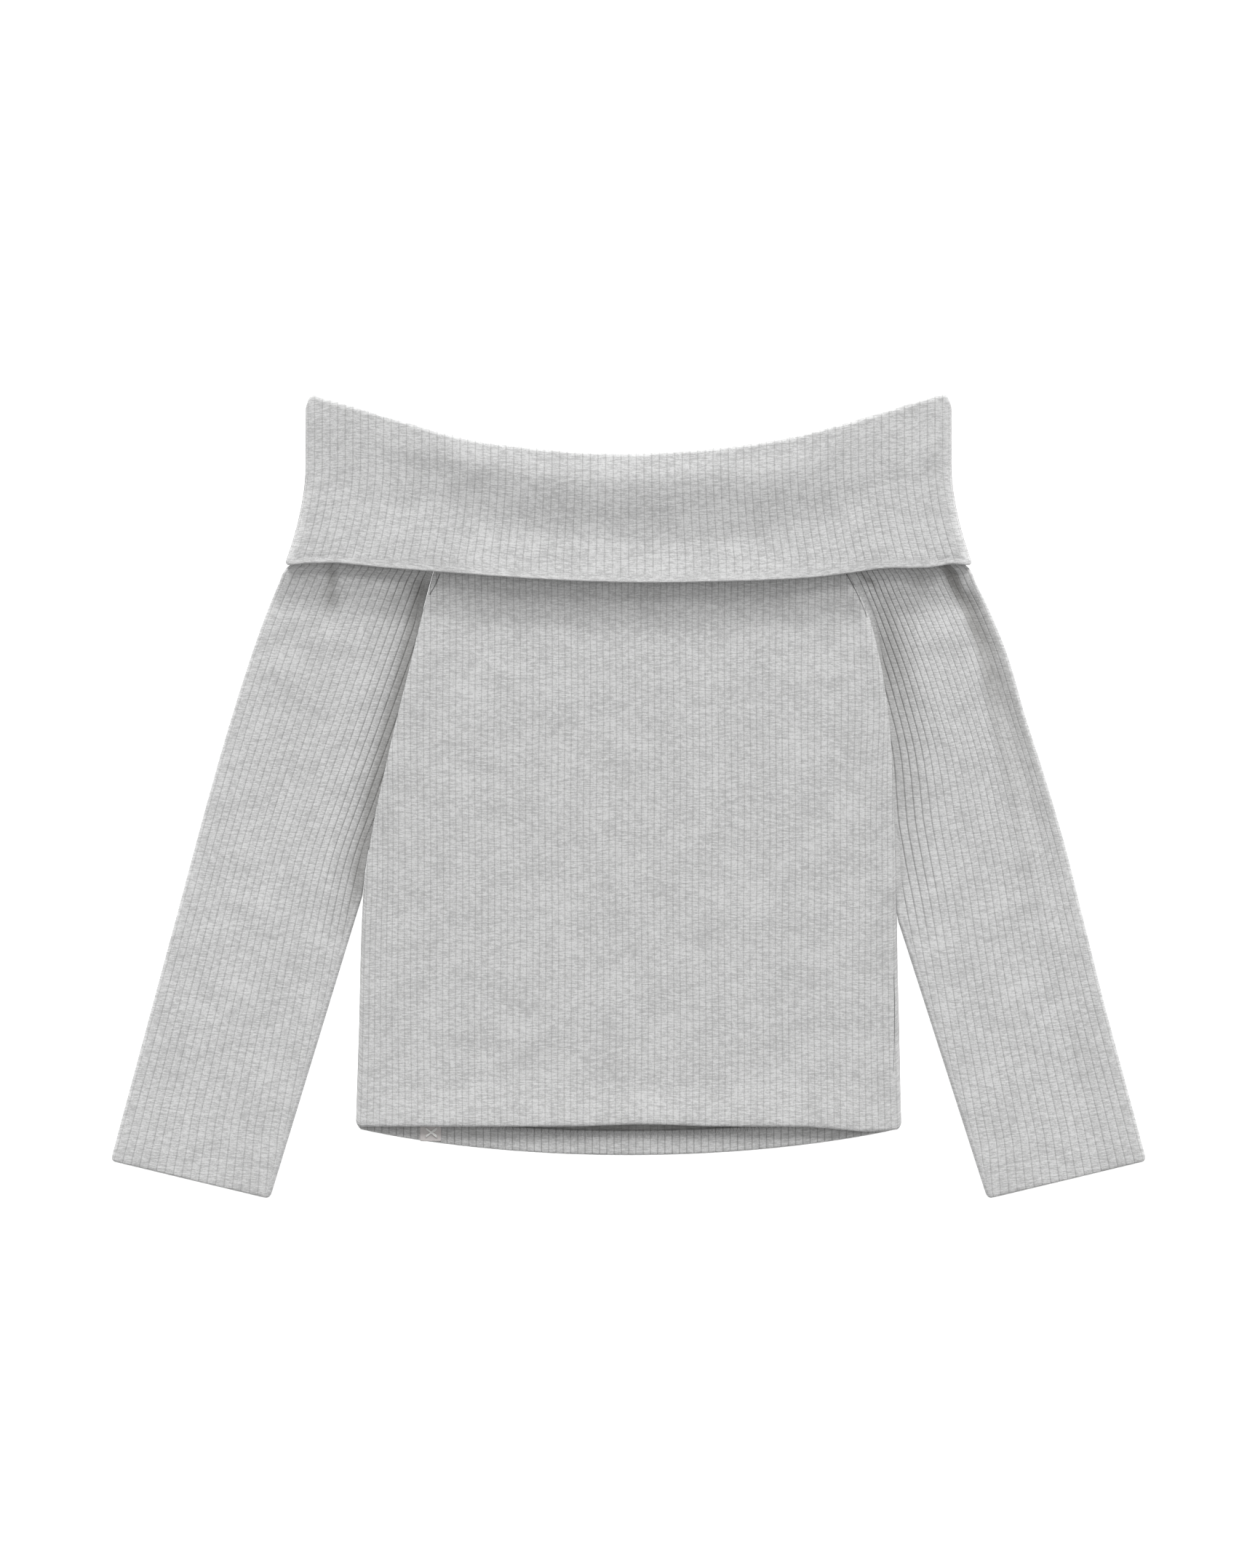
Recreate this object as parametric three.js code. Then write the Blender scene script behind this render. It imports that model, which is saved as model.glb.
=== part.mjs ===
// An off-the-shoulder top in a wide flat rib knit, laid out flat on its back with its front upwards.
// Millimetres, +Z up. The origin is on the surface under the middle of the garment, +X runs to the
// right across the front and +Y from the hem towards the collar.
// Every piece of cloth is a closed wall with an outer face and an inner face. The outer face of what
// shows carries the ribs, the inner face and the underside are plain. Pieces are 0.3 mm apart at seams.

import * as THREE from "three";

// Cloth
const WALL = 1.3; // the knit between its ribs
const RIB_RELIEF = 0.5; // a rib's crest above its grooves
const FLOOR_WALL = 1.5; // the plain wall of what lies on the surface
const HEM_WALL = 2.6; // cloth turned up once at hem and cuffs
const HEM_DEPTH = 18; // how far it is turned up
const HEM_STEP = 1; // half the length over which the wall thins above it
const EDGE_ROUND = 1.2; // how far from a free edge the cloth starts to round off
const EDGE_THIN = 0.35; // share of the wall left at the edge itself
const SEAM_GAP = 0.3;
const HALF_SEAM = SEAM_GAP / 2;

// Body
const HEM_HALF = 200; // half the hem's width
const STRAIGHT_HALF = 196.8; // the side folds round over beyond this
const SIDE_BAND = 170; // ribs beyond this draw in with the side folds
const BODY_RIBS = 84;
const BACK_RIBS = 74;
const HEM_Y = -241.5; // the front hem
const HEM_WAVES = [
  { x: 12, width: 38, rise: 1.6 },
  { x: 176, width: 30, rise: -3.6 },
];
const BACK_HEM_Y = -242.7; // the back hem at the side folds
const BACK_HEM_DROP = 20; // the back hem hangs lower at the middle
const BACK_HEM_POWER = 0.9; // a flat bow, a little fuller than a parabola
const NECK_Y = 173.6; // the neck seam at the middle
const NECK_RISE = 13.9; // and how much higher it ends at the sides
const NECK_HALF = 242; // half the neck seam's width
const NECK_POWER = 1.3;
const BODY_Z = 6.3; // outer face over the middle of the body
const SIDE_Z = 5.4; // and next to the side folds
const SIDE_FALL = { fromX: 110, fromY: 40, toY: -80 }; // where the front starts to fall towards that
const SIDE_RIDGE = { z: 0.4, y: 40, height: 70, fromX: 120, toX: 180 }; // beside the armholes
const HEM_LIFT = 1.4; // the front hem stands open this much more
const HEM_OPEN = { fromY: -205, power: 6 }; // from this height down, closing only at the sides
const LIFT = 4.35; // near the collar everything lies on the collar's back
const FRONT_LIFT = 4.2;
const LIFT_RAMP = 34; // how long the rise to that takes
const LIFT_CLEAR = 2; // and how far below the collar's edge it ends
const ROLL_ANGLES = [30, 60, 90];
const ORDER_STEP = 0.01; // columns in a fold come after the straight ones, in the order of their angle
const LEAST_FOLD = 0.4; // a side fold's inner face keeps at least this width
const BACK_RIB_FADE = { from: 188, to: 168 }; // the ribs inside the back hem end before the side folds
// Stations above the hem, as shares of the way to the top. They stand closer on the rise to the collar.
const FRONT_SHARES = [0.45, 0.78, 0.875, 0.92, 0.96, 1];
const BACK_SHARES = [0.4, 0.7, 0.86, 0.89, 0.92, 0.95, 1];
const FRONT_INNER_EVERY = 12; // the front's plain inner face has one column for so many outer ones
// The back's plain columns stand closer in a band beside each armhole.
const PLAIN_COLUMNS = { middle: 8, side: 12, band: 60, gap: 10 };

// Half-width of the body by height: the side folds up to the underarm, the armhole edges above it.
const BODY_EDGE = [
  { y: -242, left: 200, right: 200 },
  { y: -160, left: 197.4, right: 198.2 },
  { y: -71, left: 194.4, right: 195.9 },
  { y: -22, left: 187.6, right: 194.9 },
  { y: 32, left: 175.6, right: 192.8 },
  { y: 87, left: 162.2, right: 185 },
  { y: 131, left: 152, right: 175.8 },
  { y: 163, left: 143.4, right: 160.5 },
  { y: 181, left: 138, right: 149 },
];
const UNDERARM = { left: -71, right: -88 };
const ARMHOLE_TOP = { left: 138, right: 149 };

// Sleeves
const SLEEVE_RIBS = 21; // across the front of one sleeve
const SLEEVE_END = { outerY: -267.5, innerY: -294.5, innerX: 263.5 };
const SLEEVE_TOP = { outerY: 187.35, innerY: 180.5 };
const OUTER_EDGE = [
  { y: -267.5, x: 379 },
  { y: -98.4, x: 334.2 },
  { y: 29.6, x: 299.4 },
  { y: 93.6, x: 279.8 },
  { y: 136, x: 264.8 },
  { y: 157.6, x: 255.6 },
  { y: 166, x: 252 },
  { y: 170.6, x: 247 },
  { y: 187.5, x: 241.8 },
];
const SLEEVE_ROLL = 3; // the sleeve's folds round over within this width
const CUFF_Z = 6.2; // outer face beside the folds below the underarm
const CUFF_CROWN = 0.6;
const SHOULDER_Z = 6.15; // outer face where the sleeve meets the collar
// Outer face across each sleeve, from the body's edge (0) to the outer fold (1). The right sleeve falls
// away beyond a ridge and has a small raised rim at its fold.
const SLEEVE_PROFILE = {
  left: [
    { at: 0, z: 3.6 },
    { at: 0.1, z: 4.4 },
    { at: 0.28, z: 6.4 },
    { at: 0.5, z: 6.7 },
    { at: 0.8, z: 6 },
    { at: 1, z: 5.2 },
  ],
  right: [
    { at: 0, z: 4 },
    { at: 0.12, z: 4.3 },
    { at: 0.38, z: 6.6 },
    { at: 0.6, z: 7.6 },
    { at: 0.74, z: 7.7 },
    { at: 0.87, z: 4.2 },
    { at: 1, z: 4.6 },
  ],
};
// The height at which a sleeve drops below the front's edge, and where it then runs on under it.
const TUCK = {
  left: { dipFrom: 166, dipTo: 148, slideFrom: 140, slideTo: 96 },
  right: { dipFrom: 136, dipTo: 114, slideFrom: 112, slideTo: 76 },
};
const SHOULDER_FADE = 0.6; // how much less the outer fold takes part in that
const TUCK_WIDTH = 12;
const TUCK_FADE = { from: 10, to: -40 };
const CLOSING = { above: 24, below: 6 }; // round the underarm the sleeve's edges close in a seam
const TUBE_BLEND = 60; // and this far above and below it the profile turns into a plain flat tube
const FOLD_ANGLES = [30, 60, 90, 120, 150];
const EDGE_ANGLES = [45, 90];
const SLEEVE_BACK_COLUMNS = 5;
const SLEEVE_INNER_EVERY = 7;
// Stations down a sleeve, by the height of their inner end.
const SLEEVE_STATIONS = [
  180.5, 168, 157, 146, 134, 116, 90, 60, 26, -10, -46, -71, -88, -108, -170, -275.5, -277.5, -293.3,
  -294.5,
];

// Collar: a deep doubled band that stands up from the neck seam, folds over and hangs down outside.
const COLLAR_RIBS = 82;
const TOP_HALF = 236.3; // half-width at the top corners
const COLLAR_FLARE = 14.4; // wider at its lower edge
const FLARE_FROM_Y = 243;
const FLARE_DEPTH = 70;
const FLARE_POWER = 1.75;
const FOLD_Y = 250.8; // the top fold at the middle
const FOLD_RISE = 45.6; // and how much higher it is at the corners
const CORNER_ROUND = { from: 229, drop: 9 };
const LOWER_Y = 157.6; // the flap's lower edge at the middle
const LOWER_RISE = 13.9;
const LOWER_HALF = 213; // the lower edge runs level beyond this
// It hangs a little lower or higher than that here and there.
const LOWER_DIPS = [
  { x: -251, drop: 0 },
  { x: -236, drop: 1 },
  { x: -190, drop: 0.2 },
  { x: -130, drop: -0.8 },
  { x: -40, drop: 0.4 },
  { x: 0, drop: 1.2 },
  { x: 60, drop: 1.8 },
  { x: 136, drop: 3 },
  { x: 185, drop: 1.5 },
  { x: 216, drop: 4.2 },
  { x: 238, drop: 1.2 },
  { x: 251, drop: 0 },
];
const LOOP_Z = 7.55; // height of the loop's middle, and how far its outermost face is from it
const LOOP_ROLL = 7; // the side folds round over within this width
const CREST = { down: 22, width: 15, z: 3 }; // the front flap swells below its top fold
const LOW_LIFT = { from: 36, z: 2 }; // and towards its lower edge
const COLLAR_PLAIN_COLUMNS = 16;
// Rows from the flap's lower edge over the top fold to the neck seam: the line each is measured from,
// how far, and how deep the outer (o) and inner (i) face lie within the loop.
const COLLAR_ROWS = [
  { line: "lower", o: 0, oDeep: 1.2, i: 0, iDeep: 2.1, flap: true },
  { line: "lower", o: 1.4, oDeep: 0.5, i: 1.4, iDeep: 3.1, flap: true },
  { line: "lower", o: 14, oDeep: 0.5, i: 14, iDeep: 3.1, flap: true },
  { line: "lower", o: 32, oDeep: 0.5, i: 32, iDeep: 3.1, flap: true },
  { line: "fold", o: 41, oDeep: 0.5, i: 41, iDeep: 3.1, flap: true },
  { line: "fold", o: 24, oDeep: 0.5, i: 24, iDeep: 3.1, flap: true },
  { line: "fold", o: 10, oDeep: 0.7, i: 12, iDeep: 3.1, flap: true },
  { line: "fold", o: 2.6, oDeep: 1.9, i: 6, iDeep: 3.14, flap: true },
  { line: "fold", o: 0, oDeep: 3.4, i: 3.6, iDeep: 3.35 },
  { line: "fold", o: 2.6, oDeep: 5.8, i: 6, iDeep: 3.56 },
  { line: "fold", o: 9, oDeep: 6.6, i: 12, iDeep: 3.6 },
  { line: "neck", o: 32, oDeep: 6.6, i: 32, iDeep: 3.6 },
  { line: "neck", o: HALF_SEAM, oDeep: 6.6, i: HALF_SEAM, iDeep: 3.6 },
];
const UNDERSIDE_DEEP = 0.5; // the back's outer face fills this to lie flat on the surface

// Label: a plain folded tape end on the turned-up back hem
const LABEL = { x: -145, y: -245.6, width: 15.5, length: 13.8, z: 3.65, thick: 0.5, corner: 1 };

const CLOTH = { color: 0xc4c4c5, roughness: 0.95, metalness: 0 };
const LABEL_CLOTH = { color: 0xdcdcda, roughness: 0.8, metalness: 0 };

const clamp01 = (t) => Math.min(1, Math.max(0, t));
const mix = (a, b, t) => a + (b - a) * t;
const smooth = (from, to, t) => {
  const s = clamp01((t - from) / (to - from));
  return s * s * (3 - 2 * s);
};
const bump = (t, middle, width) => Math.exp(-(((t - middle) / width) ** 2));
const sine = (angle) => Math.sin(THREE.MathUtils.degToRad(angle));
const cosine = (angle) => Math.cos(THREE.MathUtils.degToRad(angle));
const sideName = (x) => (x < 0 ? "left" : "right");

// A smooth curve through a table's rows: cubic, each slope the harmonic mean of the two beside it.
function curve(rows, at, value) {
  const last = rows.length - 1;
  const secant = (i) => (rows[i + 1][value] - rows[i][value]) / (rows[i + 1][at] - rows[i][at]);
  const slope = (i) => {
    if (i === 0) return secant(0);
    if (i === last) return secant(last - 1);
    const [a, b] = [secant(i - 1), secant(i)];
    return a * b <= 0 ? 0 : (2 * a * b) / (a + b);
  };
  return (t) => {
    let i = 0;
    while (i < last - 1 && t > rows[i + 1][at]) i += 1;
    const span = rows[i + 1][at] - rows[i][at];
    const s = clamp01((t - rows[i][at]) / span);
    const [p, q] = [rows[i][value], rows[i + 1][value]];
    const [u, v] = [slope(i) * span, slope(i + 1) * span];
    return p + s * (u + s * (3 * (q - p) - 2 * u - v + s * (2 * (p - q) + u + v)));
  };
}

// Where a falling function reaches a value.
function solve(f, value, low, high) {
  let [a, b] = [low, high];
  for (let i = 0; i < 40; i += 1) {
    const m = (a + b) / 2;
    if (f(m) > value) a = m;
    else b = m;
  }
  return (a + b) / 2;
}

// A closed wall from rows of points. outer[i] and inner[i] are the two faces' rows at one station, each
// a list of { t, p } from left to right. Rows may have different numbers of points.
function wall(outer, inner) {
  const rows = [...outer, ...[...inner].reverse()];
  const position = [];
  const starts = rows.map((row) => {
    const start = position.length / 3;
    row.forEach(({ p }) => position.push(...p));
    return start;
  });
  const index = [];
  rows.forEach((row, r) => {
    const next = (r + 1) % rows.length;
    const [a, b, above] = [starts[r], starts[next], rows[next]];
    let [i, j] = [0, 0];
    while (i < row.length - 1 || j < above.length - 1) {
      const lower = i < row.length - 1 ? row[i + 1].t : Infinity;
      const upper = j < above.length - 1 ? above[j + 1].t : Infinity;
      if (lower <= upper) {
        index.push(a + i, a + i + 1, b + j);
        i += 1;
      } else {
        index.push(a + i, b + j + 1, b + j);
        j += 1;
      }
    }
  });
  const first = (r) => starts[r];
  const end = (r) => starts[r] + rows[r].length - 1;
  const last = rows.length - 1;
  for (let i = 0; i < outer.length - 1; i += 1) {
    const [a, b, c, d] = [i, i + 1, last - i - 1, last - i];
    index.push(first(a), first(b), first(c), first(a), first(c), first(d));
    index.push(end(a), end(c), end(b), end(a), end(d), end(c));
  }
  const geometry = new THREE.BufferGeometry();
  geometry.setAttribute("position", new THREE.Float32BufferAttribute(position, 3));
  if (signedVolume(position, index) < 0) index.reverse();
  geometry.setIndex(index);
  geometry.computeVertexNormals();
  return geometry;
}

// Six times the volume that an indexed mesh encloses, negative if its faces point inwards.
function signedVolume(position, index) {
  const at = (k) => new THREE.Vector3().fromArray(position, 3 * index[k]);
  let sum = 0;
  for (let k = 0; k < index.length; k += 3) sum += at(k).dot(at(k + 1).cross(at(k + 2)));
  return sum;
}

// Lines of the cut
const edgeOf = {
  left: curve(BODY_EDGE, "y", "left"),
  right: curve(BODY_EDGE, "y", "right"),
};
const outerEdge = curve(OUTER_EDGE, "y", "x");
const neckSeam = (x) => NECK_Y + NECK_RISE * Math.min(1, (Math.abs(x) / NECK_HALF) ** NECK_POWER);
const lowerDip = curve(LOWER_DIPS, "x", "drop");
const lowerEdge = (x) => LOWER_Y + LOWER_RISE * Math.min(1, (x / LOWER_HALF) ** 2) - lowerDip(x);
const foldLine = (x) =>
  FOLD_Y +
  FOLD_RISE * (x / TOP_HALF) ** 2 -
  CORNER_ROUND.drop * clamp01((Math.abs(x) - CORNER_ROUND.from) / (TOP_HALF - CORNER_ROUND.from)) ** 2;
const frontHem = (x) =>
  HEM_WAVES.reduce((y, wave) => y + wave.rise * bump(x, wave.x, wave.width), HEM_Y);
const backHem = (x) =>
  BACK_HEM_Y - BACK_HEM_DROP * Math.max(0, 1 - (x / HEM_HALF) ** 2) ** BACK_HEM_POWER;
const collarHalf = (y) =>
  TOP_HALF + COLLAR_FLARE * clamp01((FLARE_FROM_Y - y) / FLARE_DEPTH) ** FLARE_POWER;

// How far body and sleeves have risen, from 0 to 1, onto the collar's back that lies under them.
function lifted(x, y) {
  const full = lowerEdge(x) - LIFT_CLEAR;
  return smooth(full - LIFT_RAMP, full, y);
}

// Top of the body at a distance from the middle: the neck seam, then the armhole's edge.
function bodyTop(x) {
  const side = sideName(x);
  const seam = neckSeam(x) - HALF_SEAM;
  if (Math.abs(x) <= ARMHOLE_TOP[side]) return seam;
  return solve(edgeOf[side], Math.abs(x) + HALF_SEAM, UNDERARM[side], seam);
}

// Across the body: straight columns, then three that round each side fold. A rib column is a crest
// where rib is 1 and a groove where it is 0.
function bodyColumns(straight) {
  const roll = (side) =>
    ROLL_ANGLES.map((angle) => ({ t: side * (STRAIGHT_HALF + angle * ORDER_STEP), rib: 0, angle }));
  return [...roll(-1).reverse(), ...straight, ...roll(1)];
}
const evenColumns = (half, count, ribbed) =>
  Array.from({ length: count + 1 }, (_, i) => ({
    t: -half + (2 * half * i) / count,
    rib: ribbed ? i % 2 : 0,
    angle: 0,
  }));
const plainBodyColumns = [-1, 0, 1].flatMap((side) => {
  const { middle, side: atSide, band, gap } = PLAIN_COLUMNS;
  if (side === 0) return evenColumns(STRAIGHT_HALF - band - gap, middle, false);
  const centre = side * (STRAIGHT_HALF - band / 2);
  return evenColumns(band / 2, atSide, false).map((c) => ({ ...c, t: c.t + centre }));
});

// Distance of a body column from the middle at a height; the wall's inner face lies deeper in its fold.
function bodyX({ t, angle }, y, deep) {
  const side = sideName(t);
  const half = edgeOf[side](Math.min(y, UNDERARM[side])) - HALF_SEAM;
  const draw = (d) =>
    d <= SIDE_BAND ? d : SIDE_BAND + ((d - SIDE_BAND) * (half - SIDE_BAND)) / (HEM_HALF - SIDE_BAND);
  const d = Math.min(Math.abs(t), STRAIGHT_HALF);
  const straight = draw(d);
  return Math.sign(t) * (straight + Math.max(LEAST_FOLD, half - deep - straight) * sine(angle));
}
const columnTop = (column) => bodyTop(bodyX(column, UNDERARM[sideName(column.t)], 0));

// Outer face of the front between its ribs.
function frontHeight(x, y) {
  const away = Math.abs(x);
  const toSide = smooth(SIDE_FALL.fromX, HEM_HALF, away) * smooth(SIDE_FALL.fromY, SIDE_FALL.toY, y);
  const mouth = 1 - Math.min(1, away / HEM_HALF) ** HEM_OPEN.power;
  const open = HEM_LIFT * smooth(HEM_OPEN.fromY, HEM_Y, y) * mouth;
  const beside = bump(y, SIDE_RIDGE.y, SIDE_RIDGE.height) * smooth(SIDE_RIDGE.fromX, SIDE_RIDGE.toX, away);
  const ridge = SIDE_RIDGE.z * beside;
  return mix(BODY_Z, SIDE_Z, toSide) + open + ridge + FRONT_LIFT * lifted(x, y);
}

// A station up the body is a distance above the hem or a share of the way from hem to top.
const stationY = (station, hem, top) =>
  station.up !== undefined ? hem + station.up : mix(hem, top, station.share);

// Front: from the hem's rounded edge up to the neck seam and armholes.
function frontPanel() {
  const stations = [
    { up: 0, thick: HEM_WALL, thin: EDGE_THIN },
    { up: EDGE_ROUND, thick: HEM_WALL, thin: 1 },
    { up: HEM_DEPTH - HEM_STEP, thick: HEM_WALL, thin: 1 },
    { up: HEM_DEPTH + HEM_STEP, thick: WALL, thin: 1 },
    ...FRONT_SHARES.map((share) => ({ share, thick: WALL, thin: 1 })),
  ];
  const row = ({ thick, thin, ...station }, columns, outside) =>
    columns.map((column) => {
      const y = stationY(station, frontHem(column.t), columnTop(column));
      const x = bodyX(column, y, outside ? 0 : thick);
      const face = frontHeight(bodyX({ ...column, angle: 0 }, y, 0), y);
      const rounding = ((1 - thin) * thick) / 2;
      const level = outside ? face - rounding + RIB_RELIEF * column.rib * thin : face - thick + rounding;
      const seam = face / 2 + HALF_SEAM;
      return { t: column.t, p: [x, y, seam + (level - seam) * cosine(column.angle)] };
    });
  const ribbed = evenColumns(STRAIGHT_HALF, 2 * BODY_RIBS, true);
  const outer = bodyColumns(ribbed);
  const inner = bodyColumns(ribbed.filter((_, i) => i % FRONT_INNER_EVERY === 0));
  return wall(
    stations.map((station) => row(station, outer, true)),
    stations.map((station) => row(station, inner, false)),
  );
}

// Back: it lies on the surface, rises onto the collar's back, and shows its ribbed turned-up hem.
function backPanel() {
  const stations = [
    { up: 0, thick: HEM_WALL, thin: EDGE_THIN, ribbed: true },
    { up: EDGE_ROUND, thick: HEM_WALL, thin: 1, ribbed: true },
    { up: HEM_DEPTH - HEM_STEP, thick: HEM_WALL, thin: 1, ribbed: true },
    { up: HEM_DEPTH + HEM_STEP, thick: FLOOR_WALL, thin: 1 },
    ...BACK_SHARES.map((share) => ({ share, thick: FLOOR_WALL, thin: 1 })),
  ];
  const plain = bodyColumns(plainBodyColumns);
  const ribs = bodyColumns(evenColumns(STRAIGHT_HALF, 2 * BACK_RIBS, true));
  const row = ({ thick, thin, ribbed, ...station }, outside) =>
    (ribbed && !outside ? ribs : plain).map((column) => {
      const y = stationY(station, backHem(column.t), columnTop(column));
      const x = bodyX(column, y, outside ? 0 : thick);
      const flatX = bodyX({ ...column, angle: 0 }, y, 0);
      const face = LIFT * lifted(flatX, y);
      const rounding = ((1 - thin) * thick) / 2;
      const shown = smooth(BACK_RIB_FADE.from, BACK_RIB_FADE.to, Math.abs(column.t));
      const relief = RIB_RELIEF * column.rib * thin * shown;
      const level = outside ? face + rounding : face + thick - rounding + relief;
      const seam = frontHeight(flatX, Math.max(y, frontHem(column.t))) / 2 - HALF_SEAM;
      return { t: column.t, p: [x, y, seam + (level - seam) * cosine(column.angle)] };
    });
  return wall(
    stations.map((station) => row(station, true)),
    stations.map((station) => row(station, false)),
  );
}

// Sleeve: one piece wrapped from the front's armhole edge round the outer fold to the back's. Below the
// underarm its two edges close in a seam. The sleeve's front runs on under the front's edge.
function sleeve(side) {
  const sign = side === "left" ? -1 : 1;
  const underarm = UNDERARM[side];
  const tuck = TUCK[side];
  const profile = curve(SLEEVE_PROFILE[side], "at", "z");
  const armholeX = (y) => edgeOf[side](y) + HALF_SEAM;
  const innerX = (y) =>
    y > underarm
      ? armholeX(y)
      : mix(armholeX(underarm), SLEEVE_END.innerX, (underarm - y) / (underarm - SLEEVE_END.innerY));

  const station = (innerY) => {
    const down = (SLEEVE_TOP.innerY - innerY) / (SLEEVE_TOP.innerY - SLEEVE_END.innerY);
    const outerY = mix(SLEEVE_TOP.outerY, SLEEVE_END.outerY, down);
    const inner = new THREE.Vector2(innerX(innerY), innerY);
    const outer = new THREE.Vector2(outerEdge(outerY), outerY);
    const toEnd = innerY - SLEEVE_END.innerY;
    return {
      inner,
      outer,
      width: inner.distanceTo(outer),
      atTop: innerY === SLEEVE_TOP.innerY,
      closed: smooth(underarm + CLOSING.above, underarm - CLOSING.below, innerY),
      tube: smooth(underarm + TUBE_BLEND, underarm - TUBE_BLEND, innerY),
      shoulder: smooth(tuck.dipTo, tuck.dipFrom, innerY),
      under:
        TUCK_WIDTH *
        smooth(tuck.slideFrom, tuck.slideTo, innerY) *
        smooth(TUCK_FADE.to, TUCK_FADE.from, innerY),
      hem: toEnd < HEM_DEPTH,
      thin: toEnd === 0 ? EDGE_THIN : 1,
    };
  };

  // Round the sleeve t runs from -1 to 0 over the front, to 1 over the outer fold and to 2 over the
  // back. The columns of its two edges come before and after.
  const front = evenColumns(0.5, 2 * SLEEVE_RIBS, true);
  const edge = (level, from) =>
    EDGE_ANGLES.map((angle) => ({ t: from + (level < 0 ? 1 : -1) * (angle / 180), edge: angle, level }));
  const columnsOf = (ribs) => [
    ...edge(1, -1).reverse(),
    ...ribs.map(({ t, rib }) => ({ t: t - 0.5, across: t + 0.5, rib, level: 1 })),
    ...FOLD_ANGLES.map((roll) => ({ t: roll / 180, roll })),
    ...evenColumns(0.5, SLEEVE_BACK_COLUMNS, false).map(({ t }) => ({
      t: t + 1.5,
      across: 0.5 - t,
      level: -1,
    })),
    ...edge(-1, 2),
  ];

  const row = (s, columns, outside) =>
    columns.map((column) => {
      const thickFront = s.hem ? HEM_WALL : WALL;
      const thickBack = s.hem ? HEM_WALL : FLOOR_WALL;
      const roll = SLEEVE_ROLL / s.width;
      const innerRoll = (SLEEVE_ROLL - Math.min(thickBack, SLEEVE_ROLL - LEAST_FOLD)) / s.width;
      const depth = outside ? roll : innerRoll;
      const edgeShift = outside ? 0 : s.closed * (roll - innerRoll);
      const angle = column.edge ?? 0;
      let u = 1 - roll;
      if (column.across !== undefined) u = mix(roll, 1 - roll, column.across);
      if (column.roll !== undefined) u = 1 - roll + depth * sine(column.roll);
      if (column.edge !== undefined) {
        u = edgeShift + (roll - edgeShift) * mix(1 - angle / 90, 1 - sine(angle), s.closed);
        if (column.level > 0) u -= (s.under / s.width) * (angle / 90);
      }
      const plan = s.inner.clone().lerp(s.outer, u);
      if (s.atTop) plan.y = neckSeam(plan.x) - HALF_SEAM;
      const rise = lifted(plan.x, plan.y);

      const flatU = clamp01(column.roll !== undefined ? 1 - roll : u);
      const tubeZ = CUFF_Z + CUFF_CROWN * Math.sin(Math.PI * flatU);
      const dressed = mix(profile(flatU), tubeZ, s.tube);
      const toShoulder = s.shoulder * (1 - SHOULDER_FADE * flatU * (1 - rise));
      const frontZ = mix(dressed, SHOULDER_Z, toShoulder) + FRONT_LIFT * rise;
      const backZ = LIFT * rise;
      const rounding = (t) => ((1 - s.thin) * t) / 2;
      const relief = RIB_RELIEF * (column.rib ?? 0) * s.thin;
      const rounded = rounding(thickFront);
      const top = frontZ + (outside ? relief - rounded : rounded - thickFront);
      const bottom = outside ? backZ + rounding(thickBack) : backZ + thickBack - rounding(thickBack);
      const middle = (frontZ + backZ) / 2;
      let z;
      if (column.roll !== undefined) {
        z = (top + bottom) / 2 + ((top - bottom) / 2) * cosine(column.roll);
      } else if (column.level > 0) {
        const seam = middle + HALF_SEAM;
        z = mix(top, seam + (top - seam) * cosine(angle), s.closed);
      } else {
        const seam = middle - HALF_SEAM;
        z = mix(bottom, seam + (bottom - seam) * cosine(angle), s.closed);
      }
      return { t: column.t, p: [sign * plan.x, plan.y, z] };
    });

  const outer = columnsOf(front);
  const inner = columnsOf(front.filter((_, i) => i % SLEEVE_INNER_EVERY === 0));
  const stations = SLEEVE_STATIONS.map(station);
  return wall(
    stations.map((s) => row(s, outer, true)),
    stations.map((s) => row(s, inner, false)),
  );
}

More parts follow.
